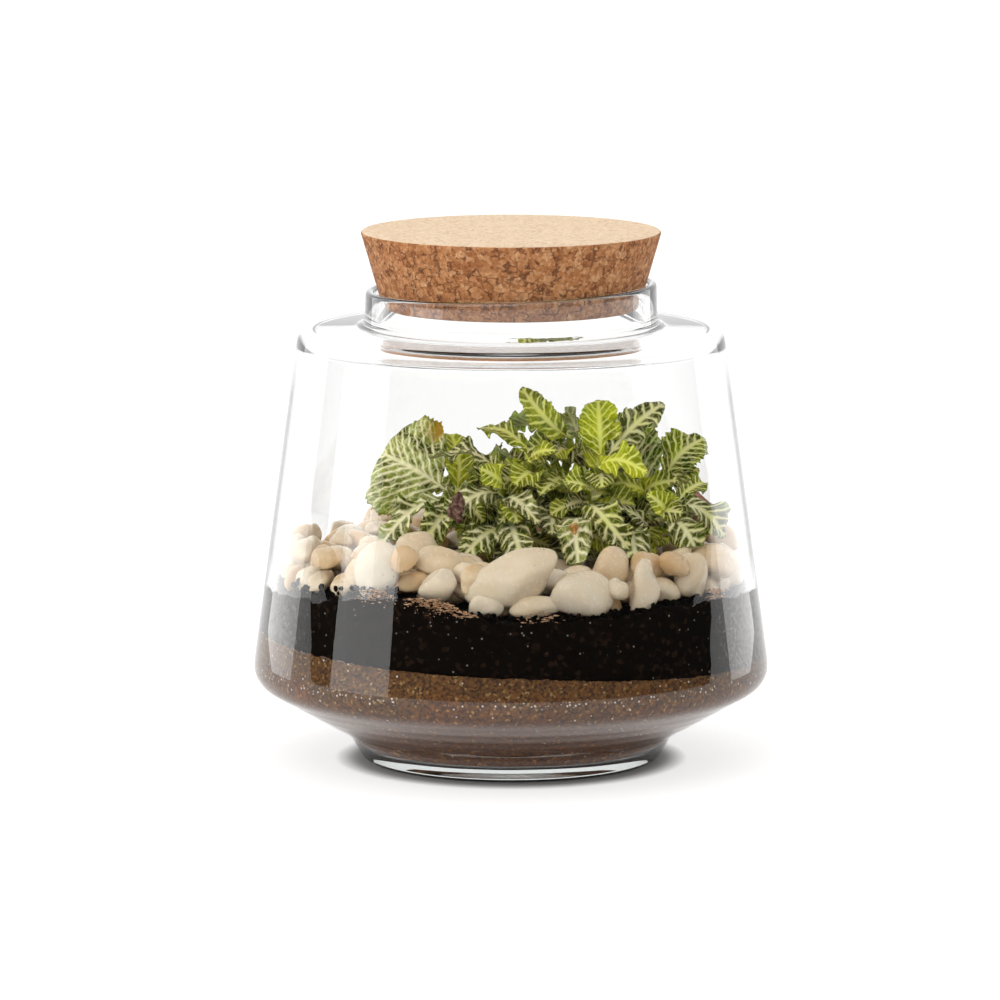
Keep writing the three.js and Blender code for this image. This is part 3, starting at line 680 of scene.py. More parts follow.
def makeCrumbs(soil):  # loose crumbs along the soil's upper edge
    points, faces = [], []
    for item in range(filling["crumbs"]):
        r = insideRadius(filling["crumbLine"]) - 7 * draw(item, 2) ** 1.6 - 0.9
        x, y = around(r, 2 * math.pi * draw(item, 1))
        size = [spread(item, k, 0.5, 1.3) for k in (3, 4, 5)]
        clinging = filling["clinging"] * blend(-20, -50, x) * blend(10, -20, y)
        z = raggedSoil(x, y) + spread(item, 6, -0.2, 1.6 + clinging)
        addLump(points, faces, (x, y, z), size, spread(item, 7, 0, 6), item)
    makePiece("soilCrumbs", points, faces, [soil], "soil", smooth=False)


coir = {
    "heaps": [  # x, y, spread and number of chips
        (-24, -78, 9, 420), (69, -44, 5, 130), (-46, -68, 6, 120), (10, -82, 6, 60)],
    "length": 2.4,
}


def makeCoir():
    # Coir, chopped from the husk: short light-brown splinters lying on the soil
    material, tree, place = newMaterial("coirChopped")
    streak = addNode(tree, "TexNoise", {"Vector": place, "Scale": 1 / (1.2 * mm), "Detail": 3})
    colour = addNode(tree, "ValToRGB", [streak], [(0.3, "#7d563a"), (0.5, "#c79d78"), (0.7, "#e2c4a2")])
    finishMaterial(tree, {"Base Color": colour, "Roughness": 0.9})
    points, faces = [], []
    for heap, (x0, y0, wide, count) in enumerate(coir["heaps"]):
        for item in range(2000 * (heap + 1), 2000 * (heap + 1) + count):
            x = x0 + wide * (draw(item, 1) + draw(item, 2) - 1) * 1.6
            y = y0 + wide * (draw(item, 3) - 0.5)
            out = (insideRadius(filling["crumbLine"]) - 2.2 * draw(item, 9) ** 2) / math.hypot(x, y)
            x, y = x * out, y * out
            z = raggedSoil(x, y) + spread(item, 4, -3.4, 3.6) * math.exp(-((x - x0) / wide) ** 2 / 2)
            length = coir["length"] * spread(item, 5, 0.3, 0.6)
            size = (length, spread(item, 6, 0.15, 0.4), spread(item, 7, 0.12, 0.3))
            addLump(points, faces, (x, y, z), size, spread(item, 8, 0, 6), item)
    makePiece("coirChips", points, faces, [material], "soil", smooth=False)


makeFilling()
print("sand and soil made")


# Pebbles

pebbles = {
    "facets": (40, 26),
    "looseFacets": (64, 44),
    "rings": [  # radius, number of stones, height over the soil
        (76.2, 21, 5), (75.2, 21, 13), (60.5, 15, 12.8), (45.5, 11, 12.6), (30, 6, 12.4), (13, 2, 12.4)],
    "wallRings": 2,  # these lean on the glass
    "closest": 0.66,
    "stemRoom": 9,
    "tries": 5200,  # for the small stones between the others
    "bedRadius": 77.5,
    "wallGap": 0.55,
    "soilGap": 0.4,
    "flats": 6,
    "leftShare": 0.68,
}
loosePebbles = [  # name, centre, half sizes, facing, raised and spin, tone from white to beige
    ("pebble_front_large", (2, -71, 75.5), (15, 9.6, 7.2), (0.02, 1.35, 0.45), 0.3),
    ("pebble_front_round", (23, -69.5, 68.8), (11, 8.8, 6), (0.3, 1.35, -0.6), 0.2),
    ("pebble_front_upright", (44.5, -60.5, 69.5), (9.4, 5.8, 4.6), (0.62, 1.4, 1.25), 0.25),
    ("pebble_front_wedge", (34, -55, 74.5), (7.8, 6.6, 4.8), (0.5, 1.1, 1), 0.6),
    ("pebble_front_flat", (8, -73.5, 65), (8.6, 3.8, 3.8), (0.05, 0.3, 0.1), 0.4),
    ("pebble_front_small", (-9, -75.5, 65.8), (5.8, 4.6, 3.8), (-0.1, 1.3, 0.3), 0.1),
    ("pebble_right_tall", (61, -43, 70.5), (9.4, 5.8, 4.6), (0.95, 1.4, 1.2), 0.4),
    ("pebble_right_edge", (74, -17, 70), (8, 6, 4.4), (1.35, 1.4, 1.2), 0.3),
    ("pebble_left_block", (-45, -59, 75), (9.4, 8.2, 5.6), (-0.62, 1.4, 1.3), 0.02),
    ("pebble_left_dome", (-32, -48, 81.5), (8.6, 7.2, 5.4), (0.2, 0.3, 0.2), 0.5),
    ("pebble_left_flat", (-25, -59.5, 78), (8.8, 5.8, 4.4), (-0.3, 0.8, 0.1), 0.55),
    ("pebble_left_speckled", (-24, -69, 72.5), (7, 5.4, 4.4), (-0.3, 1.2, 0.4), 0.15),
    ("pebble_back_left", (-44, 46, 78.5), (9, 7, 4.8), (0.7, 0.2, 0.1), 0.5),
    ("pebble_back_middle", (4, 62, 79), (10, 7.4, 5), (0.2, 0.25, -0.1), 0.3),
    ("pebble_back_right", (44, 44, 79), (9.4, 7, 5), (-0.6, 0.3, 0.15), 0.2),
]
rock = {"centre": (64, 26, 83), "size": (9.5, 6.5, 8)}


def quartzPebbleTumbled():
    # Tumbled quartz and marble: creamy and a little see-through, satin from tumbling, with dark pinholes
    material, tree, place = newMaterial("quartzPebbleTumbled")
    tint = addNode(tree, "Attribute", attribute_name="tone").outputs["Fac"]
    cloud = addNode(tree, "TexNoise", {"Vector": place, "Scale": 1 / (9 * mm), "Detail": 3})
    offset = addNode(tree, "MapRange", [cloud, 0.3, 0.7, -0.16, 0.16])
    base = addNode(tree, "ValToRGB", [addNode(tree, "Math", [tint, offset], operation="ADD")], [
        (0, "#e0d3bd"), (0.3, "#dfccb0"), (0.6, "#dbc3a0"), (0.85, "#d5b68d"), (1, "#cba676")])
    pitted = spotted(tree, place, base, "#4a3526", 3.6, 0, 0.2, (0.06, 0.12), 0.7)
    fine = addNode(tree, "TexNoise", {"Vector": place, "Scale": 1 / (1.6 * mm), "Detail": 3})
    gloss = addNode(tree, "MapRange", [fine, 0.3, 0.7, 0.2, 0.3])
    finishMaterial(tree, {
        "Base Color": pitted, "Roughness": gloss, "IOR": 1.54, "Subsurface Weight": 0.25,
        "Subsurface Radius": (1, 0.6, 0.35), "Subsurface Scale": 3.5 * mm}, (0.15, 0.2, fine))
    return material


def settled(x, y, z):  # moves a point out of the soil and the glass
    z = max(z, soilTop(x, y) + pebbles["soilGap"])
    inward = min(1, (insideRadius(z) - pebbles["wallGap"]) / max(math.hypot(x, y), 1e-6))
    return x * inward, y * inward, z


# A tumbled stone: an uneven ellipsoid kept between the soil and the glass.
def stone(item, centre, size, turn, facets):
    yaw, tilt, spin = turn
    pose = Matrix.Rotation(yaw, 3, "Z") @ Matrix.Rotation(tilt, 3, "X") @ Matrix.Rotation(spin, 3, "Z")
    a, b, c = [2 * math.pi * draw(item, k) for k in (5, 6, 7)]
    flats = []  # worn flats, which round the ellipsoid off to a tumbled stone
    for k in range(pebbles["flats"]):
        x, y, z = spread(item, 50 + k, -1, 1), spread(item, 60 + k, -1, 1), spread(item, 70 + k, -0.7, 0.7)
        flats.append((Vector((x, y, z)).normalized(), spread(item, 80 + k, 0.72, 0.95)))

    def shaped(x, y, z):
        swell = 1 + 0.11 * math.sin(2.1 * x + 1.7 * y + a)
        swell += 0.08 * math.sin(2.7 * y - 2.3 * z + b) + 0.06 * math.sin(3.1 * z + 2.4 * x + c)
        here = Vector((x, y, z))
        worn = sum((max(0, here.dot(facing)) / depth) ** 11 for facing, depth in flats)
        swell *= 1.04 / (1 + worn) ** (1 / 11)
        return settled(*(pose @ Vector((x * size[0], y * size[1], z * size[2])) * swell + Vector(centre)))

    sides, rows = facets
    return turned(ballOutline(rows), sides, shaped)


def bedStones():  # the stones laid in rings
    stones = []
    for k, (ring, count, lift) in enumerate(pebbles["rings"]):
        onWall = k < pebbles["wallRings"]
        for i in range(count):
            item = 100 * k + i
            angle = ((i + 0.5 * (k % 2) + spread(item, 1, -0.07, 0.07)) / count) * 2 * math.pi
            x, y = around(ring + (0 if onWall else spread(item, 2, -1, 1)), angle)
            share = 1 - (1 - pebbles["leftShare"]) * blend(-38, -58, x)  # smaller stones lie at the left
            halves = spread(item, 8, 8.6, 10.2), spread(item, 9, 5.8, 7.2), spread(item, 10, 4.4, 5.2)
            tilt, spin = ((spread(item, 11, 0.2, 1.4), spread(item, 12, -0.25, 0.25)) if onWall
                          else (spread(item, 14, -0.2, 0.2), spread(item, 15, -0.6, 0.6)))
            z = soilTop(x, y) + lift - bedDip(x, y) + spread(item, 4, -0.5, 0.9)
            size = [share * half for half in halves]
            stones.append((item, (x, y, z), size, (angle + math.pi / 2, tilt, spin)))
    return stones


def distance(a, b):
    return (Vector(a) - Vector(b)).length


def roomy(here, long, stems):  # stones in a larger stone's or a stem's place are left out
    others = [(centre, size[0]) for _, centre, size, _, _ in loosePebbles]
    others.append((rock["centre"], rock["size"][0]))
    return (all(distance((p[0], p[1], here[2]), here) > pebbles["stemRoom"] for p in stems)
            and all(distance(spot, here) > pebbles["closest"] * (other + long) for spot, other in others))


def smallStones(placed, stems):  # they fill the room between the stones of the rings
    taken = [(centre, sum(size) / 3) for _, centre, size, _ in placed]
    taken += [(centre, sum(size) / 3) for _, centre, size, _, _ in loosePebbles]
    taken.append((rock["centre"], sum(rock["size"]) / 3))
    stones = []
    for item in range(5000, 5000 + pebbles["tries"]):
        r = pebbles["bedRadius"] * math.sqrt(draw(item, 1))
        angle = 2 * math.pi * draw(item, 2)
        x, y = around(r, angle)
        size = (spread(item, 8, 4.6, 8), spread(item, 9, 3.6, 5.8), spread(item, 10, 2.8, 4.4))
        mean = sum(size) / 3
        low, high = soilTop(x, y) + 2.5, bedTop(x, y) - size[2] + 1.2
        here = (x, y, low + (high - low) * draw(item, 3))
        if (any(distance((p[0], p[1], here[2]), here) < 2.5 + size[0] for p in stems)
                or r + 0.7 * size[0] > insideRadius(here[2]) - 0.5
                or any(distance(spot, here) < 0.86 * (mean + other) for spot, other in taken)):
            continue
        tilt = spread(item, 11, 0.6, 1.5) if r > 66 else spread(item, 11, -0.6, 0.6)
        yaw = angle + math.pi / 2 + spread(item, 13, -0.6, 0.6)
        stones.append((item, here, size, (yaw, tilt, spread(item, 12, -1.2, 1.2))))
        taken.append((here, mean))
    return stones


def makePebbles(stems):
    material = quartzPebbleTumbled()
    for k, (name, centre, size, turn, tone) in enumerate(loosePebbles):
        points, faces = stone(900 + k, centre, size, turn, pebbles["looseFacets"])
        piece = makePiece(nameOf(name), points, faces, [material], "pebble", [name])
        addNumbers(piece.data, "tone", [tone] * len(points))
    bed = [s for s in bedStones() if roomy(s[1], s[2][0], stems)]
    bed += smallStones(bed, stems)
    points, faces, tones = [], [], []
    for s in bed:
        before = len(points)
        joinOn(points, faces, *stone(*s, pebbles["facets"]))
        tones += [draw(s[0], 21) ** 0.8] * (len(points) - before)
    piece = makePiece("pebbleBed", points, faces, [material], "pebble", ["pebble_bed"])
    addNumbers(piece.data, "tone", tones)
    print("pebbles in the bed:", len(bed))


def sandstoneBroken():
    # Red sandstone, broken: dull, grainy, dusty pink to brown faces
    material, tree, place = newMaterial("sandstoneBroken")
    cloud = addNode(tree, "TexNoise", {
        "Vector": place, "Scale": 1 / (3 * mm), "Detail": 6, "Roughness": 0.65})
    colour = addNode(tree, "ValToRGB", [cloud], [
        (0.3, "#7d4b3d"), (0.48, "#b47f6d"), (0.62, "#d3a594"), (0.75, "#e6c8b8")])
    finishMaterial(tree, {"Base Color": colour, "Roughness": 0.9}, (0.7, 0.5, cloud))
    return material


def makeRock():
    def broken(x, y, z):
        chip = 1 + 0.16 * math.sin(5.1 * x + 2.2 * z) + 0.12 * math.sin(6.3 * y - 3 * z)
        chip -= 0.09 * abs(grain(x, y, z, 0.45, 7)) + 0.05 * abs(grain(x, y, z, 0.16, 8))
        return settled(*(v * half * chip + c for v, half, c in zip((x, y, z), rock["size"], rock["centre"])))

    points, faces = turned(ballOutline(36), 56, broken)
    makePiece("redRock", points, faces, [sandstoneBroken()], "red_rock", ["red_rock"])


# The plant

leafy = {
    "stemRadius": 2.0,
    "stemFoot": 56,
    "petioleShare": 0.13,  # of the leaf's length, before the blade opens
    "petioleWidth": 2,
    "rise": 0.78,  # exponents of the blade's outline, towards the stem and the tip
    "fall": 0.64,
    "rows": (26, 60),  # fewest and most rows of faces along a leaf
    "toothDepth": 0.14,
    "thickness": 0.42,
    "ribThickness": 0.9,
    "veins": 7.6,  # side veins along a leaf
    "quilt": 0.05,  # how far the blade swells between veins, as a share of its width
    "serration": 0.15,
    "ruffle": 0.25,
    "calmWidth": 17,  # wider leaves than this have flatter and smoother margins
    "bow": 0.1,  # how far the midribs swing sideways, as a share of the length
    "curl": 0.9,  # how far the tips bend away, as a share of the length
    "fillers": 10,  # small inner leaves on each shoot
    "fillerTop": 108,
    "yellowed": (-25, 4, 117),  # where a leaf's edge starts to wilt
    "crestClearance": 1.2,
    "glassClearance": 1.8,
}
# Each shoot: its stem's foot, bend and tip, and its leaves. A leaf is place along the stem, tip, width, arch,
# where its face looks, teeth on a side, and its age from 0, old and grey-green, to 1, young and yellow-green.
shoots = {
    "shoot_left": {
        "stem": [(-2, 4), (-8, 3, 80), (-22, 2, 94)],
        "leaves": [
            (1, (-45, 5, 107), 45, 0.06, (-0.1, -0.95, 0.1), 5, 0.03),
            (0.82, (-45, -13, 77), 15, 0.2, (-0.2, -0.6, 0.8), 4, 0.12),
            (0.62, (-30, -25, 78), 15, 0.22, (-0.1, -0.7, 0.7), 4, 0.35),
            (0.9, (-21, 14, 113), 15, 0.1, (0.1, -0.95, 0), 3, 0.9),
            (0.46, (-17, -19, 76), 14, 0.2, (0, -0.7, 0.7), 3, 0.4),
            (0.72, (-32, 25, 92), 15, 0.2, (-0.3, 0.4, 0.9), 3, 0.5),
        ],
    },
    "shoot_left_front": {
        "stem": [(0, -3), (0, -8, 82), (-4, -13, 101)],
        "leaves": [
            (1, (-28, -10, 107), 15, 0.25, (0.1, -0.5, 0.85), 4, 0.3),
            (0.78, (-23, -27, 87), 14, 0.26, (0, -0.7, 0.75), 4, 0.16),
            (0.92, (-10, -26, 106), 12, 0.12, (0.2, -0.8, 0.4), 3, 0.8),
            (0.7, (9, -30, 88), 13, 0.3, (0, -0.8, 0.6), 3, 0.2),
            (0.45, (-17, -36, 76), 15, 0.2, (0, -0.7, 0.7), 3, 0.35),
            (0.56, (4, -37, 75), 15, 0.2, (0.1, -0.7, 0.7), 3, 0.3),
        ],
    },
    "shoot_middle_left": {
        "stem": [(6, 1), (8, -2, 88), (7, -3, 107)],
        "leaves": [
            (1, (-11, 4, 116), 12, 0.3, (0, -0.8, 0.6), 4, 0.7),
            (0.85, (-6, -15, 101), 17, 0.1, (0.1, -0.95, 0.3), 4, 0.6),
            (0.94, (15, -14, 111), 12, 0.2, (0.1, -0.8, 0.5), 3, 0.85),
            (0.76, (-8, 16, 102), 14, 0.2, (-0.2, 0.4, 0.9), 3, 0.4),
            (0.6, (-3, -25, 88), 15, 0.16, (0, -0.8, 0.6), 3, 0.5),
        ],
    },
    "shoot_middle": {
        "stem": [(12, 6), (17, 5, 92), (21, 4, 113)],
        "leaves": [
            (1, (4, -2, 131), 14, 0.26, (-0.35, -0.85, 0.4), 4, 0.75),
            (0.84, (6, -6, 110), 16, 0.14, (-0.2, -0.85, 0.5), 4, 0.5),
            (0.64, (10, -20, 96), 17, 0.16, (-0.1, -0.85, 0.5), 4, 0.6),
            (0.46, (14, -26, 82), 15, 0.2, (0, -0.8, 0.6), 3, 0.3),
            (0.9, (20, 22, 121), 14, 0.2, (0.1, 0.8, 0.5), 3, 0.5),
        ],
    },
    "shoot_middle_right": {
        "stem": [(20, -3), (26, -12, 86), (31, -12, 106)],
        "leaves": [
            (1, (30, -11, 128), 18, 0.1, (0, -0.97, 0.2), 4, 0.9),
            (0.92, (53, -2, 126), 15, 0.22, (0.1, -0.8, 0.55), 4, 0.35),
            (0.84, (46, -27, 105), 15, 0.26, (0.1, -0.7, 0.7), 4, 0.95),
            (0.74, (19, -28, 102), 16, 0.14, (-0.1, -0.8, 0.5), 3, 0.7),
            (0.6, (40, -39, 80), 16, 0.26, (0.1, -0.75, 0.6), 4, 0.45),
            (0.46, (23, -45, 74), 17, 0.26, (-0.1, -0.7, 0.7), 4, 0.15),
        ],
    },
    "shoot_right": {
        "stem": [(25, 7), (42, 7, 80), (54, 3, 97)],
        "leaves": [
            (1, (67, 0, 113), 19, 0.12, (-0.2, -0.9, 0.35), 4, 0.55),
            (0.88, (43, 15, 117), 24, 0.06, (0.1, -0.95, 0.1), 4, 0.2),
            (0.76, (58, -14, 100), 14, 0.2, (0.1, -0.85, 0.5), 3, 0.7),
            (0.52, (52, -15, 87), 15, 0.2, (0, -0.8, 0.6), 3, 0.4),
            (0.66, (62, 25, 94), 16, 0.2, (0.2, 0.5, 0.9), 4, 0.4),
        ],
    },
    "shoot_right_low": {
        "stem": [(25, -6), (42, -12, 76), (56, -13, 90)],
        "leaves": [
            (1, (67, -5, 98), 11, 0.2, (0, -0.7, 0.7), 3, 0.6),
            (0.93, (73, -19, 81), 15, 0.36, (0.5, -0.7, 0.5), 4, 0.3),
            (0.76, (63, -36, 78), 16, 0.22, (0, -0.7, 0.7), 4, 0.3),
            (0.56, (43, -43, 75), 15, 0.24, (-0.1, -0.7, 0.6), 4, 0.25),
            (0.86, (48, -28, 97), 13, 0.16, (0, -0.85, 0.5), 3, 0.8),
        ],
    },
    "shoot_back_left": {
        "stem": [(1, 12), (-6, 18, 84), (-14, 26, 98)],
        "leaves": [
            (1, (-33, 33, 101), 16, 0.2, (-0.2, 0.1, 0.95), 3, 0.5),
            (0.9, (-8, 48, 99), 15, 0.2, (0.1, 0.3, 0.9), 3, 0.4),
            (0.78, (-16, 10, 104), 13, 0.15, (0, -0.7, 0.6), 3, 0.6),
            (0.62, (-23, 41, 84), 15, 0.26, (-0.2, 0.5, 0.8), 3, 0.3),
        ],
    },
    "shoot_back": {
        "stem": [(14, 15), (16, 24, 88), (15, 32, 106)],
        "leaves": [
            (1, (-2, 42, 112), 15, 0.2, (-0.2, 0.2, 0.9), 4, 0.6),
            (0.9, (32, 45, 110), 16, 0.2, (0.2, 0.3, 0.9), 4, 0.5),
            (0.78, (12, 56, 97), 15, 0.26, (0, 0.5, 0.8), 3, 0.3),
            (0.95, (17, 18, 120), 12, 0.15, (0, 0.6, 0.5), 3, 0.7),
        ],
    },
    "shoot_back_right": {
        "stem": [(25, 13), (34, 22, 82), (42, 30, 97)],
        "leaves": [
            (1, (61, 33, 103), 16, 0.2, (0.3, 0.2, 0.9), 4, 0.5),
            (0.88, (36, 54, 96), 15, 0.22, (0, 0.4, 0.9), 3, 0.4),
            (0.8, (27, 14, 107), 17, 0.12, (-0.1, -0.8, 0.5), 3, 0.5),
            (0.56, (54, 44, 84), 15, 0.26, (0.3, 0.4, 0.8), 3, 0.3),
        ],
    },
}


def stemPoint(stem, t):
    foot, bend, tip = Vector((*stem[0], leafy["stemFoot"])), Vector(stem[1]), Vector(stem[2])
    return foot * (1 - t) ** 2 + bend * 2 * t * (1 - t) + tip * t * t


def keptClear(p):  # off the pebbles and the glass
    p.z = max(p.z, bedTop(p.x, p.y) + leafy["crestClearance"])
    wall = insideRadius(min(p.z, 140)) - leafy["glassClearance"]
    inward = min(1, wall / max(math.hypot(p.x, p.y), 1e-6))
    return Vector((p.x * inward, p.y * inward, p.z))


# A leaf's surface: a grid over its length and width, closed to a thin body by a lower side.
def addLeaf(parts, leaf, base, item):
    _, tip, width, arch, face, teeth, age = leaf
    chord = Vector(tip) - base
    length = chord.length
    chord.normalize()
    look = Vector(face)
    lift = (look - chord * look.dot(chord)).normalized()
    side = chord.cross(lift)
    share, rise, fall = leafy["petioleShare"], leafy["rise"], leafy["fall"]
    peak = (rise / (rise + fall)) ** rise * (fall / (rise + fall)) ** fall
    spacing = length * (1 - share) / leafy["veins"]  # millimetres between side veins
    curl = leafy["curl"] * spread(item, 9, -0.2, 1)
    bow = leafy["bow"] * spread(item, 10, -1, 1)
    twist = spread(item, 13, -0.42, 0.42)
    uneven = {1: spread(item, 14, 0.86, 1.04), -1: spread(item, 15, 0.86, 1.04), 0: 1}
    calm = min(1, leafy["calmWidth"] / width)

    def midrib(t):
        bent = arch * math.sin(math.pi * t ** 0.85) - curl * max(0, t - 0.68) ** 2
        return base + (chord * t + lift * bent + side * bow * math.sin(math.pi * t)) * length

    fewest, most = leafy["rows"]
    rows = min(most, max(fewest, round(2.4 * width)))
    petioleRows = 6
    stations = [share * k / petioleRows for k in range(petioleRows)]
    stations += [share + (1 - share) * (k / rows) for k in range(rows + 1)]
    half = [0.06, 0.16, 0.3, 0.45, 0.6, 0.74, 0.86, 0.95, 1]
    columns = [-v for v in reversed(half)] + [0] + half
    upper, lower, veinMap, bladeMap = [], [], [], []
    for along in stations:
        tangent = (midrib(along + 0.02) - midrib(max(0, along - 0.02))).normalized()
        up = side.cross(tangent)
        u = max(0, (along - share) / (1 - share))
        blade = u ** rise * max(0, 1 - u) ** fall / peak
        for across in columns:
            v = abs(across)
            hand = 1 if across > 0 else -1 if across < 0 else 0
            phase = 0.6 * grain(9 * u, 3 * hand, item, 2.5, 9)
            lobe = abs(math.cos(math.pi * (teeth * u + phase + 0.1 * hand))) ** 0.85
            small = abs(math.cos(math.pi * (3.6 * teeth * u + 2 * phase + draw(item, 2)))) ** 0.8
            toothed = 1 - leafy["toothDepth"] * calm * lobe * v ** 3
            toothed *= uneven[hand] * (1 - leafy["serration"] * calm * small * v ** 4)
            halfWidth = max(leafy["petioleWidth"] / 2 * (1 - 0.45 * along), width / 2 * blade * toothed)
            wave = math.sin(math.pi * teeth * (u + 0.5 * phase) + 2.6 * hand + 6.3 * draw(item, 1))
            ripple = math.sin(4.4 * math.pi * teeth * u + 9 * draw(item, 3) + across)
            raised = leafy["ruffle"] * width * calm ** 1.6 * blade * v ** 1.8 * wave
            raised += 0.05 * width * calm * blade * v ** 3 * ripple
            raised += halfWidth * (0.3 * v - 0.12 * v * v)  # the blade folds up along the midrib
            vein = u * leafy["veins"] - 0.8 * v * halfWidth / spacing * (1.2 - 0.3 * v)
            raised += leafy["quilt"] * width * blade * math.sin(math.pi * vein) ** 2 * v ** 0.5 * (1 - v ** 4)
            out = across * halfWidth * 0.97
            lean = twist * calm * u
            centre = midrib(along) + side * (out * math.cos(lean)) + up * (raised + out * math.sin(lean))
            centre = keptClear(centre)
            stalk = 1 - blend(0.02, 0.12, u)
            rib = math.exp(-((v / 0.09) ** 2)) * (1 - 0.6 * u)
            thick = leafy["thickness"] + (leafy["ribThickness"] - leafy["thickness"]) * rib
            thick += stalk * (1.7 * math.sqrt(max(0, 1 - v * v)) + 0.2 - thick)
            thick *= 1 - 0.45 * v ** 4
            upper.append(tuple(centre + up * thick / 2))
            lower.append(tuple(centre - up * thick / 2))
            veinMap.append((vein, v))
            bladeMap.append((along * length, across * halfWidth + 50 * (item % 97)))
    start, count = len(parts["points"]), len(upper)
    wide, tall = len(columns), len(stations)
    added = {
        "points": upper + lower, "veinMap": veinMap * 2, "bladeMap": bladeMap * 2,
        "age": [age] * (2 * count), "reach": [width / 2] * (2 * count), "under": [0] * count + [1] * count}
    for key, values in added.items():
        parts[key] += values

    def at(lowerSide, row, column):
        return start + lowerSide * count + row * wide + column

    faces = parts["faces"]
    for row in range(tall - 1):
        for column in range(wide - 1):
            corners = [(row, column), (row + 1, column), (row + 1, column + 1), (row, column + 1)]
            faces.append(tuple(at(0, *c) for c in reversed(corners)))
            faces.append(tuple(at(1, *c) for c in corners))
    rim = [(0, column) for column in range(wide)] + [(row, wide - 1) for row in range(1, tall)]
    rim += [(tall - 1, column) for column in reversed(range(wide - 1))]
    rim += [(row, 0) for row in reversed(range(tall - 1))]
    faces += [(at(0, *a), at(1, *a), at(1, *b), at(0, *b)) for a, b in zip(rim, rim[1:])]
    parts["slots"] += [0] * (len(faces) - len(parts["slots"]))


def addStem(parts, stem):
    sides, steps = 12, 30
    start = len(parts["points"])
    for k in range(steps + 1):
        t = k / steps
        tangent = (stemPoint(stem, t + 0.01) - stemPoint(stem, t - 0.01)).normalized()
        across = tangent.cross(Vector((0.3, 1, 0.1))).normalized()
        other = tangent.cross(across)
        knot = 0.22 * math.exp(-(((t * 7) % 1 - 0.5) / 0.12) ** 2)  # the joints where leaves come out
        radius = leafy["stemRadius"] * (1 - 0.25 * t + knot - 0.1) * (0.3 if k == steps else 1)
        for i in range(sides):
            east, north = around(radius, 2 * math.pi * i / sides)
            parts["points"].append(tuple(stemPoint(stem, t) + across * east + other * north))
            parts["veinMap"].append((t * 12, i / sides))
            parts["bladeMap"].append((t * 60, 8 * i / sides))
    for key, value in (("age", 0.6), ("reach", 6), ("under", 0)):
        parts[key] += [value] * (sides * (steps + 1))
    faces = parts["faces"]
    for k in range(steps):
        for i in range(sides):
            n = (i + 1) % sides
            a = start + k * sides
            faces.append((a + i, a + n, a + sides + n, a + sides + i))
    faces.append(tuple(start + i for i in reversed(range(sides))))
    faces.append(tuple(start + steps * sides + i for i in range(sides)))
    parts["slots"] += [1] * (len(faces) - len(parts["slots"]))


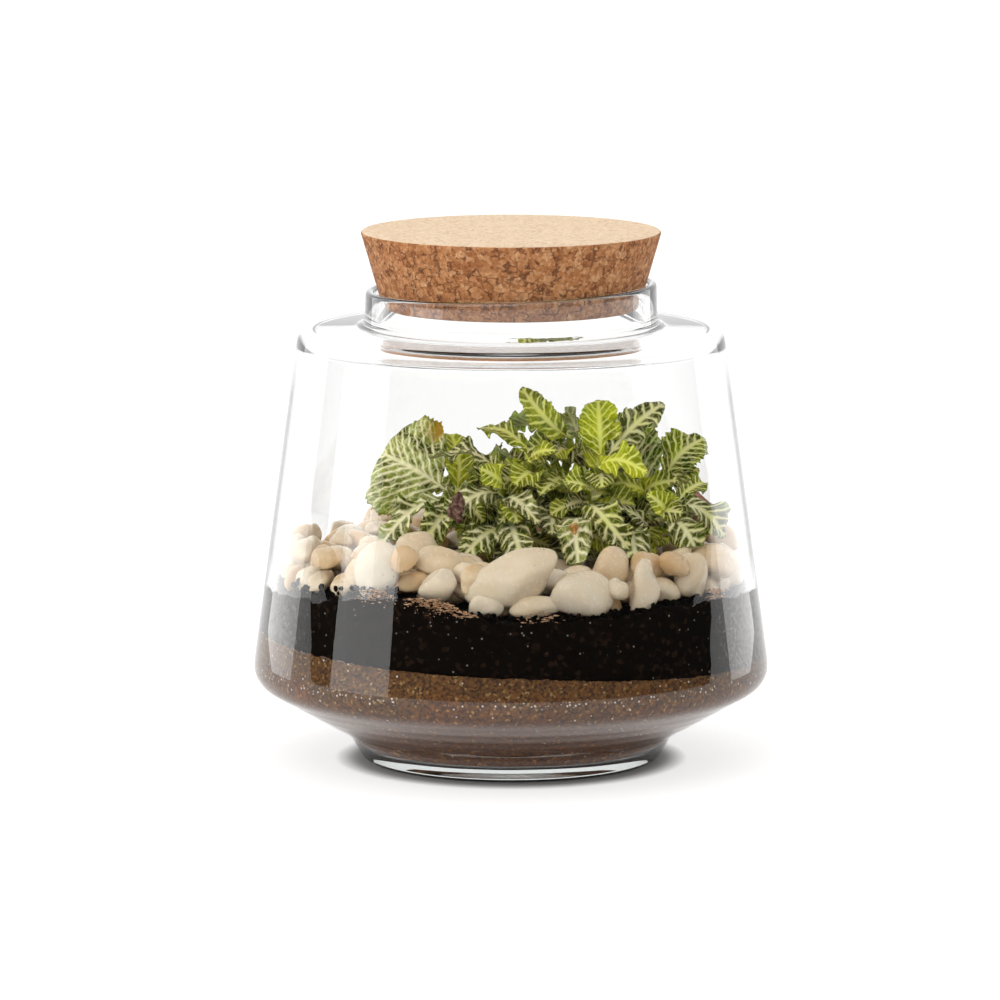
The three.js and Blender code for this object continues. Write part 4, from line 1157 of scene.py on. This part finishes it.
def nerveLeafLiving():
    # Living nerve-plant leaf, grown: satin green between bold cream veins, lit through where it is thin
    material, tree, here = newMaterial("nerveLeafLiving")
    veins = addNode(tree, "SeparateXYZ", [addNode(tree, "UVMap", uv_map="veinMap")]).outputs
    blade = addNode(tree, "UVMap", uv_map="bladeMap")
    age, reach, under = [addNode(tree, "Attribute", attribute_name=name).outputs["Fac"]
                         for name in ("age", "reach", "under")]  # reach is half the leaf's width
    # Side veins that taper and fork towards the margin
    wobble = addNode(tree, "TexNoise", {"Vector": blade, "Scale": 0.35, "Detail": 2}, noise_dimensions="2D")
    shift = addNode(tree, "MapRange", [wobble, 0.2, 0.8, -0.2, 0.2])
    place = addNode(tree, "Math", [veins["X"], shift], operation="ADD")
    near = addNode(tree, "Math", [place, 0.5], operation="PINGPONG")
    inner = addNode(tree, "MapRange", [age, 0, 1, 0.4, 0.3])
    width = addNode(tree, "MapRange", [veins["Y"], 0.05, 0.95, inner, 0.17])
    forkReach = addNode(tree, "MapRange", [veins["Y"], 0.45, 0.9, 0.5, 0.4])
    # Fine net between them, bolder on a wide leaf, and the midrib
    net = addNode(tree, "TexVoronoi", {"Vector": blade, "Scale": 1 / 2.6}, feature="DISTANCE_TO_EDGE",
                  voronoi_dimensions="2D")
    netStrength = addNode(tree, "MapRange", [reach, 6, 12, 0.2, 0.5])
    fromRib = addNode(tree, "Math", [veins["Y"], reach], operation="MULTIPLY")
    fades = [[near, 0.03, width, 1, 0], [near, forkReach, 0.5, 0, 0.8], [net, 0.02, 0.14, netStrength, 0],
             [fromRib, 0.3, 1.7, 1, 0]]
    veined, *others = [addNode(tree, "MapRange", fade, interpolation_type="SMOOTHSTEP") for fade in fades]
    for vein in others:
        veined = addNode(tree, "Math", [veined, vein], operation="MAXIMUM")
    margin = addNode(tree, "MapRange", [veins["Y"], 0.88, 0.99, 1, 0.35])
    pattern = addNode(tree, "Math", [veined, margin], operation="MULTIPLY")
    cloud = addNode(tree, "TexNoise", {"Vector": blade, "Scale": 0.16, "Detail": 3}, noise_dimensions="2D")
    drift = addNode(tree, "MapRange", [cloud, 0.3, 0.7, -0.18, 0.18])
    ageHere = addNode(tree, "Math", [age, drift], operation="ADD")
    field = addNode(tree, "ValToRGB", [ageHere], [
        (0, "#999e4e"), (0.16, "#4a4d12"), (0.4, "#3e4204"), (0.7, "#727906"), (1, "#a4ab14")])
    pale = addNode(tree, "ValToRGB", [ageHere], [
        (0, "#f2eec4"), (0.25, "#d9d3a2"), (0.5, "#dedb94"), (0.8, "#e2e37e"), (1, "#e8e96e")])
    upperSide = addNode(tree, "MixRGB", [pattern, field, pale])
    lowerSide = addNode(tree, "MixRGB", [0.5, upperSide, "#b9b594"])
    side = addNode(tree, "MixRGB", [under, upperSide, lowerSide])
    brown = addNode(tree, "MapRange", [veins["Y"], 0.93, 1, 0, 0.65])
    rimmed = addNode(tree, "MixRGB", [brown, side, "#6a5a2a"])
    offSpot = addNode(tree, "VectorMath", [here, [c * mm for c in leafy["yellowed"]]], operation="DISTANCE")
    yellowed = addNode(tree, "MapRange", [offSpot.outputs["Value"], 4 * mm, 8 * mm, 0.85, 0])
    colour = addNode(tree, "MixRGB", [yellowed, rimmed, "#c28a22"])
    finishMaterial(tree, {
        "Base Color": colour, "Roughness": 0.5, "IOR": 1.45, "Specular IOR Level": 0.12,
        "Subsurface Weight": 0.45, "Subsurface Radius": (0.6, 1, 0.2), "Subsurface Scale": 1.2 * mm},
        (0.5, 0.25, pattern))
    return material


def nerveStemLiving():
    # Living nerve-plant stem, grown: smooth juicy light green with faint darker streaks
    material, tree, place = newMaterial("nerveStemLiving")
    streak = addNode(tree, "TexNoise", {"Vector": place, "Scale": 1 / (3 * mm), "Detail": 3})
    colour = addNode(tree, "ValToRGB", [streak], [(0.3, "#6f7a14"), (0.5, "#8f981f"), (0.7, "#b2b54e")])
    finishMaterial(tree, {"Base Color": colour, "Roughness": 0.4, "IOR": 1.45, "Subsurface Weight": 0.4,
                          "Subsurface Radius": (0.6, 1, 0.2), "Subsurface Scale": 1.5 * mm})
    return material


def innerLeaves(s, stem):  # small leaves by a rule, close to the stem, where the plant is thickest
    leaves = []
    for k in range(leafy["fillers"]):
        item = 3000 + 40 * s + k
        t = spread(item, 1, 0.28, 0.88)
        angle = 2.4 * k + spread(item, 2, -0.5, 0.5)
        out = Vector((*around(1, angle), spread(item, 3, -0.25, 0.75))).normalized()
        tip = stemPoint(stem, t) + out * spread(item, 4, 13, 21)
        tip.z = min(tip.z, leafy["fillerTop"])
        width, arch, age = spread(item, 5, 11, 16), spread(item, 6, 0.1, 0.3), spread(item, 7, 0.1, 0.95)
        leaves.append((item, (t, tip, width, arch, (-0.3 * out.x, -0.6, 0.7), 3, age)))
    return leaves


def makePlant():
    materials = [nerveLeafLiving(), nerveStemLiving()]
    for s, (name, shoot) in enumerate(shoots.items()):
        stem = shoot["stem"]
        keys = ("points", "faces", "slots", "veinMap", "bladeMap", "age", "reach", "under")
        parts = {key: [] for key in keys}
        addStem(parts, stem)
        leaves = [(20 * s + k, leaf) for k, leaf in enumerate(shoot["leaves"])] + innerLeaves(s, stem)
        for item, leaf in leaves:
            addLeaf(parts, leaf, stemPoint(stem, leaf[0]), item)
        mesh = makePiece(nameOf(name), parts["points"], parts["faces"], materials, "leaf", [name]).data
        mesh.polygons.foreach_set("material_index", parts["slots"])
        for key in ("veinMap", "bladeMap"):
            flat = [c for loop in mesh.loops for c in parts[key][loop.vertex_index]]
            mesh.uv_layers.new(name=key).data.foreach_set("uv", flat)
        for key in ("age", "reach", "under"):
            addNumbers(mesh, key, parts[key])


withered = {
    "crumpled": {"centre": (-18.5, -29.5, 92.5), "size": (3.3, 2, 4.4)},
    "stub": {"centre": (21.5, -33, 85), "size": (1.9, 1.6, 3)},
}


def nerveLeafWithered():
    # Dead leaf, dried in the damp air: crumpled, dull, purple-brown to ochre, and it lets no light through
    material, tree, place = newMaterial("nerveLeafWithered")
    crease = addNode(tree, "TexNoise", {
        "Vector": place, "Scale": 1 / (1.4 * mm), "Detail": 5, "Roughness": 0.65})
    dead = addNode(tree, "ValToRGB", [crease], [
        (0.3, "#2e1a14"), (0.46, "#5b3a30"), (0.6, "#8a6a5a"), (0.72, "#b89c86")])
    torn = addNode(tree, "ValToRGB", [crease], [(0.35, "#8a5a1c"), (0.5, "#c08a3c"), (0.65, "#e2c08a")])
    stubSide = addNode(tree, "Math", [addNode(tree, "SeparateXYZ", [place]), 0], operation="GREATER_THAN")
    colour = addNode(tree, "MixRGB", [stubSide, dead, torn])
    finishMaterial(tree, {"Base Color": colour, "Roughness": 0.8}, (0.8, 0.5, crease))
    return material


def makeWithered():
    material = nerveLeafWithered()
    for k, (name, bit) in enumerate(withered.items()):
        def crumpled(x, y, z):
            fold = 1 + 0.8 * grain(x, y, z, 0.9, 11 + k) - 0.7 * abs(grain(x, y, z, 0.4, 13 + k))
            return tuple(c + v * half * fold for c, v, half in zip(bit["centre"], (x, y, z), bit["size"]))

        makePiece(name + "Leaf", *turned(ballOutline(30), 44, crumpled), [material], "leaf")


makePebbles([tuple(stemPoint(shoot["stem"], 0.45)) for shoot in shoots.values()])
makeRock()
print("stones made")
makePlant()
makeWithered()
print("plant made")
